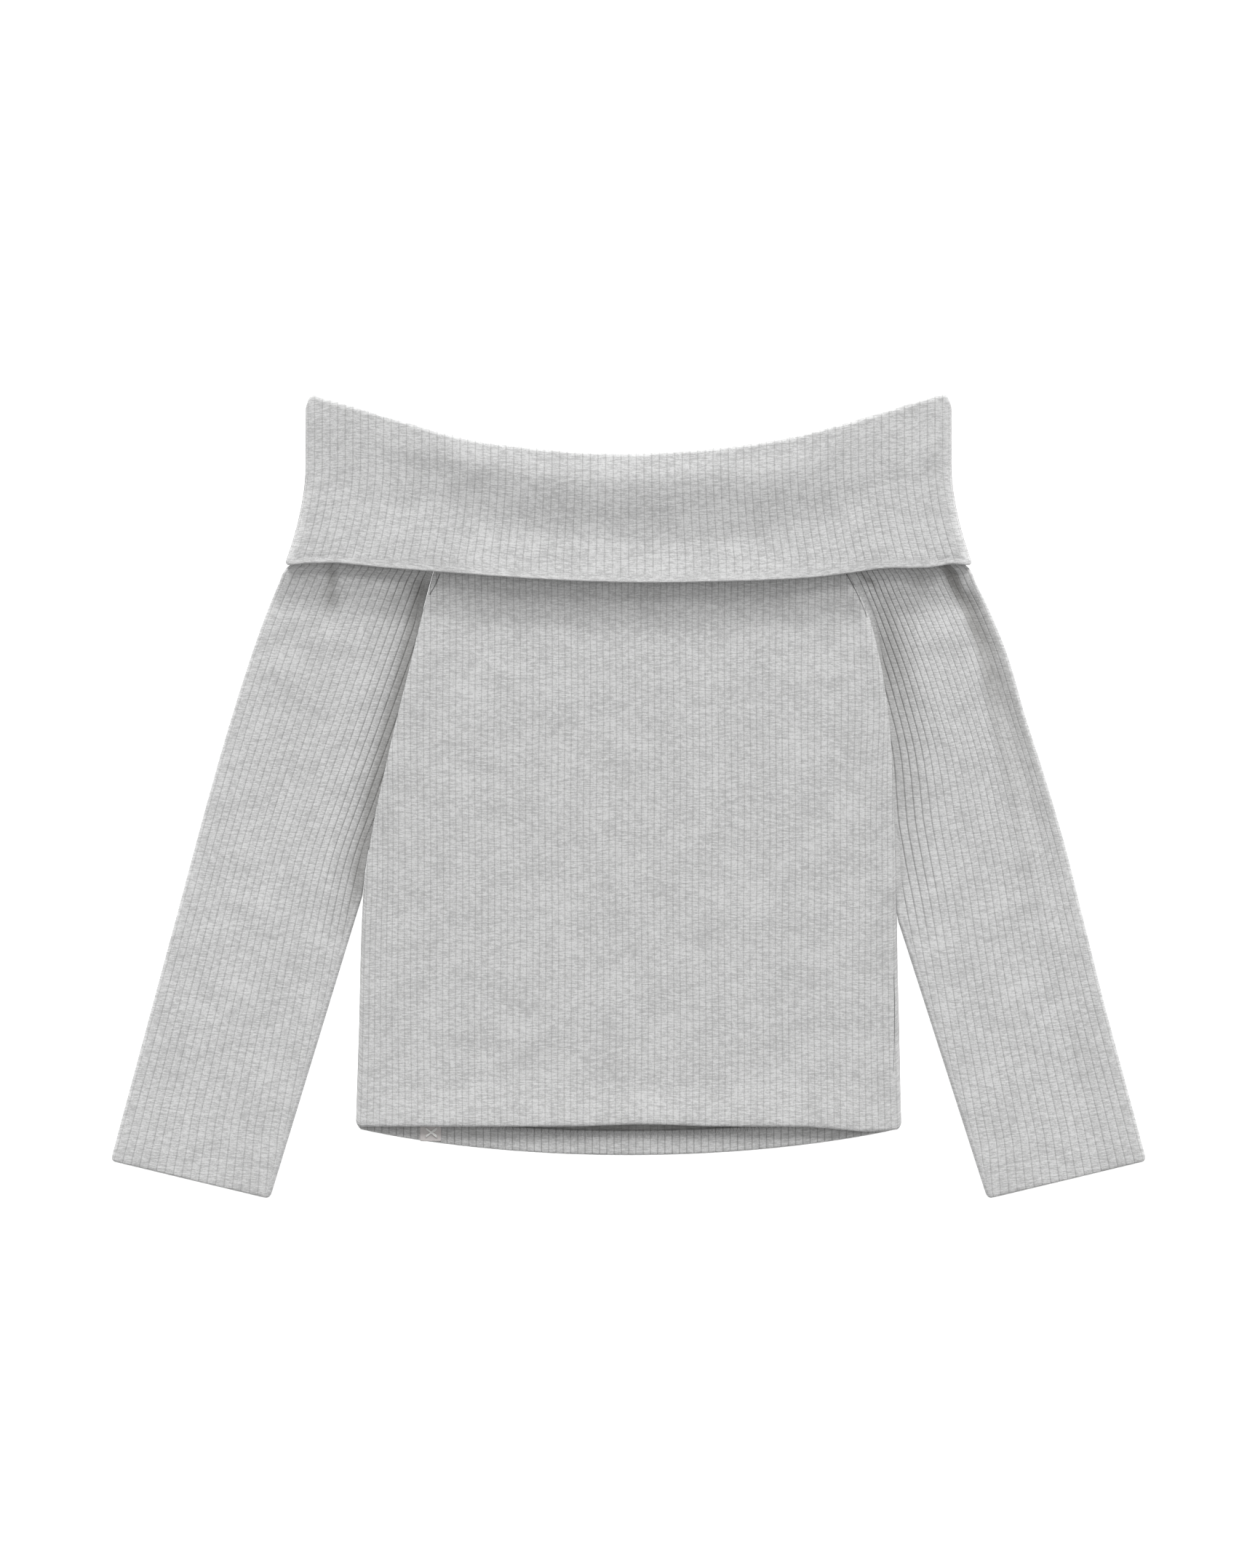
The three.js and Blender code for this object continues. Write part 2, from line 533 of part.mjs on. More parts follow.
// Half of the collar: the front half lies uppermost, the back half on the surface.
function collar(half) {
  const front = half === "front";
  const lines = {
    lower: (x, along) => lowerEdge(x) + along,
    fold: (x, along) => foldLine(x) - along,
    neck: (x, along) => neckSeam(x) + along,
  };
  const roll = (side) =>
    ROLL_ANGLES.map((angle) => ({ t: side * (1 + angle * ORDER_STEP), rib: 0, angle }));
  const columnsOf = (straight) => [...roll(-1).reverse(), ...straight, ...roll(1)];
  const plan = ({ t, angle }, line, along, deep) => {
    const share = Math.min(1, Math.abs(t));
    let width = TOP_HALF;
    let [x, y] = [0, 0];
    for (let pass = 0; pass < 3; pass += 1) {
      x = Math.sign(t) * (share * (width - LOOP_ROLL) + (LOOP_ROLL - deep) * sine(angle));
      y = lines[line](x, along);
      width = collarHalf(y);
    }
    return [x, y];
  };
  const swell = (x, y) =>
    CREST.z * bump(foldLine(x) - y, CREST.down, CREST.width) +
    LOW_LIFT.z * smooth(LOW_LIFT.from, 0, y - lowerEdge(x));
  const row = (r, columns, outside) =>
    columns.map((column) => {
      const flat = outside && r.flap && !front ? -UNDERSIDE_DEEP : 0;
      const relief = outside && front && r.flap ? RIB_RELIEF * column.rib : 0;
      const deep = (outside ? r.oDeep : r.iDeep) + flat - relief;
      const [x, y] = plan(column, r.line, outside ? r.o : r.i, deep);
      const raised = front && r.flap ? swell(x, y) : 0;
      const height = LOOP_Z - deep + raised - HALF_SEAM;
      const z = HALF_SEAM + height * cosine(column.angle);
      return { t: column.t, p: [x, y, LOOP_Z + (front ? z : -z)] };
    });
  const ribbed = columnsOf(evenColumns(1, 2 * COLLAR_RIBS, true));
  const plain = columnsOf(evenColumns(1, COLLAR_PLAIN_COLUMNS, false));
  return wall(
    COLLAR_ROWS.map((r) => row(r, front && r.flap ? ribbed : plain, true)),
    COLLAR_ROWS.map((r) => row(r, plain, false)),
  );
}

// Label: a small blank tape with rounded corners
function labelTape() {
  const [w, l, r] = [LABEL.width / 2, LABEL.length / 2, LABEL.corner];
  const outline = new THREE.Shape();
  outline.absarc(w - r, l - r, r, 0, Math.PI / 2);
  outline.absarc(r - w, l - r, r, Math.PI / 2, Math.PI);
  outline.absarc(r - w, r - l, r, Math.PI, 1.5 * Math.PI);
  outline.absarc(w - r, r - l, r, 1.5 * Math.PI, 2 * Math.PI);
  return new THREE.ExtrudeGeometry(outline, {
    depth: LABEL.thick,
    bevelEnabled: false,
    curveSegments: 3,
  });
}

function piece(name, geometry, cloth) {
  const mesh = new THREE.Mesh(geometry, new THREE.MeshStandardMaterial(cloth));
  mesh.name = name;
  return mesh;
}

const garment = new THREE.Group();
garment.add(
  piece("back_panel", backPanel(), CLOTH),
  piece("front_panel", frontPanel(), CLOTH),
  piece("left_sleeve", sleeve("left"), CLOTH),
  piece("right_sleeve", sleeve("right"), CLOTH),
  piece("collar_back", collar("back"), CLOTH),
  piece("collar_front", collar("front"), CLOTH),
);
const label = piece("label", labelTape(), LABEL_CLOTH);
label.position.set(LABEL.x, LABEL.y, LABEL.z);
garment.add(label);

// The origin goes under the middle of the box that holds the whole garment.
const box = new THREE.Box3().setFromObject(garment);
garment.position.set(-(box.min.x + box.max.x) / 2, -(box.min.y + box.max.y) / 2, -box.min.z);

const top = new THREE.Group();
top.add(garment);

export default top;
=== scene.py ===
"""An off-the-shoulder rib-knit top laid out flat: its cloth, stitching and studio."""
import math

import bpy
import numpy as np
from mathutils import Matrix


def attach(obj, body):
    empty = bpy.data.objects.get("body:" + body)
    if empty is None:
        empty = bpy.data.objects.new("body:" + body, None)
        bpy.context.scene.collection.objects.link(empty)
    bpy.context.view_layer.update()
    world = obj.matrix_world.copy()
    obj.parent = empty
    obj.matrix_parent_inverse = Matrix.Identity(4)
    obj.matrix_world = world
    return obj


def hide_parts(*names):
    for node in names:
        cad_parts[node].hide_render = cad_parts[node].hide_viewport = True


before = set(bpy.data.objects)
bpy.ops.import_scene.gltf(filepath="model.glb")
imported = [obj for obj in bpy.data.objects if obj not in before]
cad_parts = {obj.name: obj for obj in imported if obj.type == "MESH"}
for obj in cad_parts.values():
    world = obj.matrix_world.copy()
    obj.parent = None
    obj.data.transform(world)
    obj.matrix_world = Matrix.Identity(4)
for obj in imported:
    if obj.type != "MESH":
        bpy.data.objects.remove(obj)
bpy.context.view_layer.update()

bl_info = {
    "name": "Rib-knit off-the-shoulder top",
    "version": (1, 0, 0),
    "blender": (4, 5, 0),
    "location": "View3D > Sidebar > Garment",
    "description": "Builds a long-sleeved rib-knit top with a fold-over collar, laid out flat",
    "category": "Object",
}

# Every shape is worked out in millimetres, +X across the front and +Y from hem to collar, and is put
# into its mesh in metres.
MM = 0.001

# Lines of the cut as they lie. Each table has one row for each height, or for each place across. The
# bulges are how far the right sleeve's outer edge lies beyond the left's.
BODY_EDGE = {
    "y": [-242, -160, -71, -22, 32, 87, 131, 163, 181],
    "left": [200, 197.4, 194.4, 187.6, 175.6, 162.2, 152, 143.4, 138],
    "right": [200, 198.2, 195.9, 194.9, 192.8, 185, 175.8, 160.5, 149],
}
OUTER_EDGE = {
    "y": [-267.5, -98.4, 29.6, 93.6, 136, 157.6, 166, 170.6, 187.5],
    "x": [379.8, 334.2, 299.4, 279.8, 264.8, 255.6, 252, 247, 241.8],
}
RIGHT_BULGES = {
    "y": [-150, -80, -40, 10, 60, 102, 135, 160, 185],
    "x": [0, 1.6, 2.4, 1.6, 0.1, 1.3, 0, -1.8, 0],
}
UNDERARM = {"left": -71, "right": -88}
ARMHOLE_TOP = {"left": 138, "right": 149}
LABEL = {"x": -145, "y": -245.6, "width": 15.5, "length": 13.8}
SLEEVE_END = {"outer_y": -266.5, "inner_y": -294.5, "inner_x": 262.5}
CUFF_CORNER = {"radius": 3.5, "fades_over": 24, "lean": 0.3}
SLEEVE_TOP = {"outer_y": 187.35, "inner_y": 180.5}
HEM_HALF = 200
STRAIGHT_HALF = 196.8
SIDE_BAND = 170
HEM_Y = -241.5
BACK_HEM_Y = -242.7
BACK_HEM_DROP = 20
HEM_CORNER = 4.3
NECK = {"y": 173.6, "rise": 13.9, "half": 242}
LOWER = {"y": 157.6, "rise": 13.9, "half": 213}
LOWER_DIPS = {
    "x": [-251, -236, -190, -130, -40, 0, 60, 136, 185, 216, 238, 251],
    "drop": [0, 1, 0.2, -0.8, 0.4, 1.2, 1.8, 3, 1.5, 4.2, 1.2, 0],
}
FOLD = {"y": 250.8, "rise": 45.6, "half": 236.3, "corner": 229, "drop": 9}
FOLD_RISES = {
    "x": [-236, -225, -200, -180, -160, -135, -110, -60, 0, 60, 110, 140, 180, 205, 225, 236],
    "rise": [0.2, 0.8, 2, 2.3, 2.1, 0.9, 0.3, 0.9, 0.9, 1.5, 1.2, 2, 3, 2.7, 1.6, 0.8],
}
FLARE = {"x": 14.4, "y": 243, "depth": 70, "power": 1.75}
HALF_SEAM = 0.15

# Heights of the layers above the surface, and how the sleeves tuck in under the body's edge.
BODY_Z = 6.3
SIDE_Z = 5.4
HEM_LIFT = 1.4
LIFT = {"front": 4.2, "back": 4.35, "ramp": 34, "clear": 2}
SLEEVE_ROLL = 3
CUFF_Z = 6.2
CUFF_CROWN = 0.6
SHOULDER_Z = 6.15
SLEEVE_PROFILE = {
    "left": {"at": [0, 0.05, 0.14, 0.28, 0.5, 0.8, 1], "z": [3.1, 3.3, 5.6, 6.6, 6.7, 6, 5.2]},
    "right": {"at": [0, 0.12, 0.38, 0.6, 0.76, 0.88, 1], "z": [4.8, 5, 6.7, 7.6, 7.9, 4.2, 4.6]},
}
TUCK = {
    "left": {"dip": (148, 166), "slide": (140, 96)},
    "right": {"dip": (114, 136), "slide": (112, 76)},
}
TUCK_WIDTH = 12
TUCK_FADE = (-40, 10)
LOOP_Z = 7.55
LOOP_ROLL = 7

# Soft troughs (below 0) and ridges: middle, half length and half width in plan, turn in
# degrees anticlockwise from +X, and height.
FRONT_CREASES = {
    "x": [157, 188, 120, -120, -60, 30, 95, -150, 10, -30, 150, -100, 60],
    "y": [50, 20, 120, 95, 20, -60, -120, -40, 60, -150, -60, -170, 125],
    "length": [70, 95, 40, 55, 75, 80, 60, 60, 60, 90, 55, 60, 45],
    "width": [9, 6, 14, 16, 20, 18, 16, 14, 24, 18, 14, 16, 16],
    "turn": [88, 86, 130, 75, 82, 100, 70, 78, 15, 5, 96, 12, 170],
    "z": [-0.6, 0.55, -0.25, -0.3, 0.22, -0.22, 0.2, 0.25, -0.2, 0.2, 0.2, -0.2, 0.2],
}
LEFT_CREASES = {
    "x": [-240, -215, -262, -285, -250, -300, -330, -200, -180],
    "y": [140, 138, 60, -30, -60, -150, -220, 60, 148],
    "length": [16, 24, 60, 70, 60, 70, 50, 60, 10],
    "width": [8, 7, 12, 14, 12, 14, 12, 8, 6],
    "turn": [70, 80, 72, 74, 70, 72, 75, 75, 85],
    "z": [0.2, -0.8, 0.35, -0.3, 0.3, 0.25, -0.25, -0.4, 0.4],
}
RIGHT_CREASES = {
    "x": [243, 205, 228, 282, 262, 300, 330, 214],
    "y": [146, 150, 70, -10, -60, -140, -210, 0],
    "length": [16, 16, 60, 60, 60, 70, 50, 60],
    "width": [8, 7, 10, 12, 12, 14, 12, 6],
    "turn": [108, 100, 104, 107, 108, 108, 106, 96],
    "z": [-0.8, 0.4, 0.3, 0.3, -0.3, 0.25, -0.25, -0.3],
}
COLLAR_CREASES = {
    "x": [-190, 190, -120, 110, 0, -60, 170, -215, 222, 60],
    "y": [222, 226, 205, 200, 236, 180, 190, 260, 258, 212],
    "length": [55, 55, 60, 60, 70, 60, 40, 25, 25, 50],
    "width": [12, 12, 12, 12, 8, 10, 12, 8, 8, 10],
    "turn": [-20, 22, -10, 12, 0, -4, 60, -60, 65, 5],
    "z": [-0.5, -0.3, -0.35, -0.25, 0.25, 0.3, 0.35, 0.4, 0.4, -0.25],
}

# Ribs: how many cross each piece, how far apart they are knitted, and the height across one rib from
# groove to groove.
RIBS = {"front": 84, "back": 74, "sleeve": 24, "collar": 82}
RIB_PITCH = {"front": 4.72, "back": 5.32, "sleeve": 5.9, "collar": 5.78}
RIB_SHAPE = np.array([0, 0.6, 0.94, 1, 1, 1, 0.94, 0.6])
RIB_PHASE = np.array([0, 0.055, 0.13, 0.3, 0.5, 0.7, 0.87, 0.945])
# How much of their height the ribs keep where the cloth is stretched round a fold and where it is turned
# up, and how deep the grooves are on a side that rests flat.
FOLD_RELIEF = 0.25
TURNED_RELIEF = 0.6
UNDERSIDE_GROOVE = 0.3
COARSE_COLUMNS = 8
COARSE_ROWS = 4
ROLL_STEPS = 8
# Where a sleeve's innermost rib would run. Inside the seam or the body's edge its ribs are cut off.
RIB_EDGE = {
    "left": {"y": [-250, -160, -56, 0, 50, 104, 180], "x": [228, 213, 193.6, 174.5, 156, 136.5, 110]},
    "right": {
        "y": [-260, -160, -82, -45, -18, 25, 78, 131, 180],
        "x": [229, 211.5, 196.8, 189, 184.8, 183, 173, 157, 139],
    },
}
SQUEEZE = 1.2
# How far the ribs midway across a sleeve shift outwards, as four times their share of its width, and how
# much deeper the grooves are beside the body, where their painted shade is also stronger.
RIB_SPREAD = {"left": 0, "right": 0.26}
DEEPER_GROOVES = {"left": 0.85, "right": 1.2}
# How far the ribs beside the right armhole lean outwards, and how far all ribs of the front waver.
RIB_LEAN = 2.6
RIB_WAVER = 0.35
# The front's cloth beside an armhole: a roll of this height on each side, and a dip at the very edge.
ARMHOLE_ROLL = {"left": 0.2, "right": 0.8}
ARMHOLE_DIP = 0.5
# A hem's stitches lie in a dent of this depth, and the cloth below them swells by the second value.
HEM_DENT = {"front": (0.04, 0.06), "cuff": (0.05, 0.08)}
# The flap of the collar: where its slope falls most, as a share of the way from the fold to the lower
# edge, and how far it drops there.
FLAP = {
    "x": [-236, -184, -119, -60, 0, 89, 158, 200],
    "share": [0.1, 0.17, 0.32, 0.45, 0.47, 0.48, 0.38, 0.36],
    "drop": [0.8, 2.4, 3.9, 4.2, 4.4, 4.2, 2.1, 0.1],
}
# The flap's rise towards its lower edge: how high, from which share of the way down, with which power,
# and where and by which share it is less at the sides.
FLAP_LOW = {"rise": 2.4, "from": 0.68, "power": 1.8, "side_from": 95, "side_to": 140, "side_share": 0.6}
FLAP_CORNER = {"drop": 2, "from": 234, "to": 250}
# Near its ends the flap's lower edge is a soft roll with a dent above it: where each lies above the edge,
# half its width and its height.
FLAP_ROLL = {"at": [1.6, 4.4], "width": [1.5, 1.7], "z": [0.16, -0.24]}
FLAP_ROLL_FROM = {"left": (175, 232), "right": (212, 236)}
# How far the back half's lower edge is tucked in, and the thickness of the collar's doubled band.
BACK_TUCK = 2
COLLAR_WALL = 2.6
# Stretches where a seam of the front shows as a line of painted shade, from the upper to the lower end,
# with places in between, and how far it stands above the plain cloth where the edge beside it swells.
SEAM_LINES = [
    {"at": [0, 0.3, 0.6, 1], "x": [194, 194.6, 194.4, 192.4], "y": (-128, -222), "lift": 0},
    {"at": [0, 0.5, 1], "x": [-138, -141, -145.5], "y": (163, 148), "lift": 0.3},
    {"at": [0, 0.25, 0.5, 0.75, 1], "x": [159.2, 163.8, 167.9, 171.5, 174.6], "y": (163, 131), "lift": 0.4},
]
THREAD_RADIUS = 0.3
# Painted shade in spots where the light hardly reaches, in the same form as the creases, with a depth of
# shade.
LEFT_SHADE_SPOTS = {
    "x": [-217, -218, -170, -160, -178, -232],
    "y": [161, 145, 156, 148, 132, 90],
    "length": [9, 10, 24, 12, 28, 70],
    "width": [4.2, 6, 9, 7, 9, 30],
    "turn": [92, 104, -14, 70, 70, 72],
    "z": [0.36, 0.25, 0.08, 0.07, 0.12, 0.04],
}
RIGHT_SHADE_SPOTS = {
    "x": [191, 200, 205, 237, 214, 205, 226, 171.5, 177.5],
    "y": [114, 62, -5, 160, 158, 142, 166, 161, 157],
    "length": [34, 60, 45, 10, 12, 14, 24, 5, 6],
    "width": [13, 13, 11, 5, 7, 9, 7, 1.6, 1.8],
    "turn": [101, 98, 96, 108, 100, 95, 0, -38, -46],
    "z": [0.3, 0.19, 0.08, 0.28, 0.18, 0.08, 0.04, 0.3, 0.3],
}
# Strips of painted shade beside an armhole's edge: how far from it each starts and is full, and its shade.
SEAM_SHADE_STRIPS = {
    "left": {"start": [10, 28], "full": [2, 5], "shade": [0.32, 0.14]},
    "right": {"start": [6], "full": [1], "shade": [0.1]},
}
# The most painted shade that a sleeve takes.
MOST_SHADE = 0.6
# The band of painted shade on the right sleeve beyond its ridge: where it starts across the sleeve, by
# height, and its shade.
SHADED_BAND = {
    "y": [-90, -24, 19, 51, 72, 94, 115, 131, 145, 165],
    "at": [0.69, 0.69, 0.69, 0.705, 0.717, 0.735, 0.742, 0.742, 0.742, 0.742],
    "shade": [0.03, 0.1, 0.18, 0.23, 0.3, 0.37, 0.46, 0.5, 0.5, 0.42],
}
# The darkest colour of the painted shade, which the Shade mark mixes in, and the height of one knitted loop
# in metres.
PAINTED_SHADE_COLOUR = (0.03, 0.025, 0.015, 1.0)
LOOP_PITCH = 0.00105


def mix(a, b, t):
    """The value a share t of the way from a to b."""
    return a + (b - a) * t


def smooth(start, stop, t):
    """0 before start, 1 after stop and a cubic between them."""
    s = np.clip((t - start) / (stop - start), 0, 1)
    return s * s * (3 - 2 * s)


def swell(t, middle, width):
    """A bell curve of height 1 round the middle."""
    return np.exp(-(((t - middle) / width) ** 2))


def curve(at, value):
    """A smooth function through a table: a cubic in each gap, each slope the harmonic mean of its gaps'."""
    at, value = np.array(at, float), np.array(value, float)
    secant = np.diff(value) / np.diff(at)
    before, after = secant[:-1], secant[1:]
    same_way = before * after > 0
    total = np.where(same_way, before + after, 1)
    inside = np.where(same_way, 2 * before * after / total, 0)
    slope = np.concatenate([secant[:1], inside, secant[-1:]])

    def at_height(t):
        i = np.clip(np.searchsorted(at, t, side="right") - 1, 0, len(at) - 2)
        span = at[i + 1] - at[i]
        s = np.clip((t - at[i]) / span, 0, 1)
        p, q = value[i], value[i + 1]
        u, v = slope[i] * span, slope[i + 1] * span
        return p + s * (u + s * (3 * (q - p) - 2 * u - v + s * (2 * (p - q) + u + v)))

    return at_height


EDGE = {side: curve(BODY_EDGE["y"], BODY_EDGE[side]) for side in ("left", "right")}
outer_edge = curve(OUTER_EDGE["y"], OUTER_EDGE["x"])
right_bulge = curve(RIGHT_BULGES["y"], RIGHT_BULGES["x"])
lower_dip = curve(LOWER_DIPS["x"], LOWER_DIPS["drop"])
fold_rise = curve(FOLD_RISES["x"], FOLD_RISES["rise"])
flap_fall = curve(FLAP["x"], FLAP["share"])
flap_drop = curve(FLAP["x"], FLAP["drop"])
band_place = curve(SHADED_BAND["y"], SHADED_BAND["at"])
band_shade = curve(SHADED_BAND["y"], SHADED_BAND["shade"])


def body_edge(x, y):
    """Half-width of the body at a height, on the side that x is on."""
    return np.where(x < 0, EDGE["left"](y), EDGE["right"](y))


def underarm(x):
    """Height of the underarm on the side that x is on."""
    return np.where(x < 0, UNDERARM["left"], UNDERARM["right"])


def neck_seam(x):
    """The neck seam rises from the middle to the sides as a power of the distance."""
    return NECK["y"] + NECK["rise"] * np.minimum(1, (np.abs(x) / NECK["half"]) ** 1.3)


def lower_edge(x):
    """The collar's lower edge is a parabola that runs level near the sides, with a few shallow dips."""
    return LOWER["y"] + LOWER["rise"] * np.minimum(1, (x / LOWER["half"]) ** 2) - lower_dip(x)


def fold_line(x):
    """The collar's top fold is a parabola with a few shallow rises, whose corners are rounded off."""
    past = np.clip((np.abs(x) - FOLD["corner"]) / (FOLD["half"] - FOLD["corner"]), 0, 1)
    return FOLD["y"] + FOLD["rise"] * (x / FOLD["half"]) ** 2 + fold_rise(x) - FOLD["drop"] * past**2


def hem_corner(x):
    """How far a hem's rounded corner has risen: an arc within the last few millimetres of each side."""
    past = np.clip(np.abs(x) - (HEM_HALF - HEM_CORNER), 0, HEM_CORNER)
    return HEM_CORNER - np.sqrt(HEM_CORNER**2 - past**2)


def front_hem(x):
    """The front's hem is level, with one small rise near its middle and one dip at the right."""
    return HEM_Y + 1.6 * swell(x, 12, 38) - 3.6 * swell(x, 176, 30) + hem_corner(x)


def back_hem(x):
    """The back's hem hangs below the front's in a flat bow."""
    bow = np.maximum(0, 1 - (x / HEM_HALF) ** 2) ** 0.9
    return BACK_HEM_Y - BACK_HEM_DROP * bow + hem_corner(x)


def collar_half(y):
    """Half-width of the collar: straight at the top and flaring towards its lower edge."""
    return FOLD["half"] + FLARE["x"] * np.clip((FLARE["y"] - y) / FLARE["depth"], 0, 1) ** FLARE["power"]


def lifted(x, y):
    """How far the cloth has risen, from 0 to 1, onto the collar's back that lies under it."""
    full = lower_edge(x) - LIFT["clear"]
    return smooth(full - LIFT["ramp"], full, y)


def creases(table, x, y):
    """Sum of bell-shaped troughs and ridges, each longer than it is wide and turned in plan."""
    total = 0
    for row in zip(*table.values()):
        x0, y0, length, width, turn, z = row
        c, s = math.cos(math.radians(turn)), math.sin(math.radians(turn))
        along, across = (x - x0) * c + (y - y0) * s, (y - y0) * c - (x - x0) * s
        total = total + z * swell(along, 0, length) * swell(across, 0, width)
    return total


def body_top(x):
    """Top of the body above x: the neck seam, then by bisection the armhole's edge."""
    seam = neck_seam(x) - HALF_SEAM
    low, high = underarm(x) + 0.0 * x, seam
    for _ in range(40):
        middle = (low + high) / 2
        wide = body_edge(x, middle) > np.abs(x) + HALF_SEAM
        low, high = np.where(wide, middle, low), np.where(wide, high, middle)
    neck_half = np.where(x < 0, ARMHOLE_TOP["left"], ARMHOLE_TOP["right"])
    return np.where(np.abs(x) <= neck_half, seam, (low + high) / 2)


def body_x(t, angle, y, deep):
    """Where a body column lies: ribs near the sides draw in with the side fold, and the columns past
    them turn round the fold by their angle."""
    half = body_edge(t, np.minimum(y, underarm(t))) - HALF_SEAM
    distance = np.minimum(np.abs(t), STRAIGHT_HALF)
    drawn = SIDE_BAND + (distance - SIDE_BAND) * (half - SIDE_BAND) / (HEM_HALF - SIDE_BAND)
    straight = np.where(distance > SIDE_BAND, drawn, distance)
    return np.sign(t) * (straight + np.maximum(0.4, half - deep - straight) * np.sin(angle))


def front_height(x, y):
    """Height of the front between its ribs: a flat middle, lower sides, an open hem and the rise."""
    to_side = smooth(110, HEM_HALF, np.abs(x)) * smooth(40, -80, y)
    gape = HEM_LIFT * smooth(-205, HEM_Y, y) * (1 - np.minimum(1, np.abs(x) / HEM_HALF) ** 6)
    ridge = 0.4 * swell(y, 40, 70) * smooth(120, 180, np.abs(x))
    return mix(BODY_Z, SIDE_Z, to_side) + gape + ridge + LIFT["front"] * lifted(x, y)


def rib_columns(half, count):
    """Columns across a ribbed stretch from -half to half: positions, rib numbers and rib heights."""
    number = (np.arange(count)[:, None] + RIB_PHASE).ravel()
    number = np.append(number, count)
    height = np.append(np.tile(RIB_SHAPE, count), 0)
    return {"t": 2 * half * number / count - half, "number": number, "height": height}


def body_columns(count):
    """Rib columns of a body panel with the columns that round each side fold."""
    ribs = rib_columns(STRAIGHT_HALF, count)
    turn = np.linspace(0, np.pi / 2, ROLL_STEPS + 1)[1:]
    past = turn / 100
    pitch = 2 * STRAIGHT_HALF / count
    beyond = (HEM_HALF - STRAIGHT_HALF) * turn / (np.pi / 2) / pitch
    widest = STRAIGHT_HALF + (HEM_HALF - STRAIGHT_HALF) * np.sin(turn)
    return {
        "t": np.concatenate([-(STRAIGHT_HALF + past)[::-1], ribs["t"], STRAIGHT_HALF + past]),
        "hem": np.concatenate([-widest[::-1], ribs["t"], widest]),
        "angle": np.concatenate([turn[::-1], 0 * ribs["t"], turn]),
        "number": np.concatenate([-beyond[::-1], ribs["number"], count + beyond]),
        "height": np.concatenate([0 * turn, ribs["height"], 0 * turn]),
    }


def hem_rows(depth, wall, hem_steps, turn_steps):
    """Rows of a turned-up hem, from its raw edge inside down to the fold and round it: how far each lies
    above the fold and how deep below the outside, for the outer and the inner face of the cloth."""
    flat = np.linspace(depth, wall, hem_steps + 1)[:-1]
    turn = np.linspace(0, np.pi, turn_steps + 1)
    slim = 0.05
    return {
        "up": np.concatenate([flat, wall * (1 - np.sin(turn))]),
        "deep": np.concatenate([flat * 0 + 2 * wall, wall * (1 + np.cos(turn))]),
        "inner_up": np.concatenate([flat, wall - slim * np.sin(turn)]),
        "inner_deep": np.concatenate([flat * 0 + wall + slim, wall + slim * np.cos(turn)]),
    }


def panel_rows(above, steps, base, top):
    """The rows of a body panel: round the hem's fold, then at fixed heights above it, then in even steps
    to the panel's top. It returns a function from one face of the hem to every row's height and depth."""

    def rows(up, deep):
        share = np.concatenate([np.zeros(len(up) + len(above)), np.linspace(0, 1, steps + 1)[1:]])
        up = np.concatenate([up, above, np.full(steps, above[-1])])[:, None]
        deep = np.concatenate([deep, np.full(len(above) + steps, deep[-1])])[:, None]
        return base + up + share[:, None] * (top - base - up), deep

    return rows


def both_faces(place, hem, wall):
    """The outer and the inner face of a piece with a turned-up hem."""
    return place(hem["up"], hem["deep"]), place(hem["inner_up"], np.append(hem["inner_deep"][:-1], wall))


def hem_dent(up, dent, swollen):
    """Height that a row of stitches and the swell below it add, by the distance above the hem's fold."""
    return -dent * swell(up, 20, 0.7) + swollen * swell(up, 10, 7)


def seam_shade(side, from_edge):
    """Painted shade of the strips beside an armhole's edge."""
    strips = zip(*SEAM_SHADE_STRIPS[side].values())
    return sum(shade * smooth(start, full, from_edge) for start, full, shade in strips)


def grid_normals(points):
    """Unit normals of a grid of points, from the cross product of its two directions."""
    across, along = np.gradient(points, axis=1), np.gradient(points, axis=0)
    normal = np.cross(across, along)
    return normal / np.maximum(np.linalg.norm(normal, axis=2, keepdims=True), 1e-9)


def grid_lengths(points):
    """Distance along each column of a grid from its first row."""
    steps = np.linalg.norm(np.diff(points, axis=0), axis=2)
    return np.concatenate([0 * steps[:1], np.cumsum(steps, axis=0)])


def stitch_rim(fine, coarse, at):
    """Triangles between a finely and a coarsely divided edge that run the same way. The coarse points
    stand at the given places of the fine edge."""
    step = np.arange(len(fine) - 1)
    cell = np.searchsorted(at, step, side="right") - 1
    middle = (at[:-1] + at[1:]) // 2
    anchor = coarse[cell + (step >= middle[cell])]
    fans = np.stack([anchor, fine[1:], fine[:-1]], axis=1)
    return np.concatenate([fans, np.stack([coarse[:-1], coarse[1:], fine[middle]], axis=1)])


def coarse_places(count, step):
    """Places of about every so many points, the first and the last among them."""
    return np.round(np.linspace(0, count - 1, (count - 1) // step + 1)).astype(int)


def shell_faces(rows, columns, row_at, column_at):
    """Faces of a closed shell: a fine outer grid, a coarse inner one and triangles round the rim."""
    outer = np.arange(rows * columns).reshape(rows, columns)
    inner = rows * columns + np.arange(len(row_at) * len(column_at)).reshape(len(row_at), len(column_at))

    def quads(grid):
        return np.stack([grid[:-1, :-1], grid[:-1, 1:], grid[1:, 1:], grid[1:, :-1]], axis=-1).reshape(-1, 4)

    rim = np.concatenate([
        stitch_rim(outer[0], inner[0], column_at),
        stitch_rim(outer[:, -1], inner[:, -1], row_at),
        stitch_rim(outer[-1, ::-1], inner[-1, ::-1], columns - 1 - column_at[::-1]),
        stitch_rim(outer[::-1, 0], inner[::-1, 0], rows - 1 - row_at[::-1]),
    ])
    return np.concatenate([quads(outer), quads(inner)[:, ::-1]]), rim


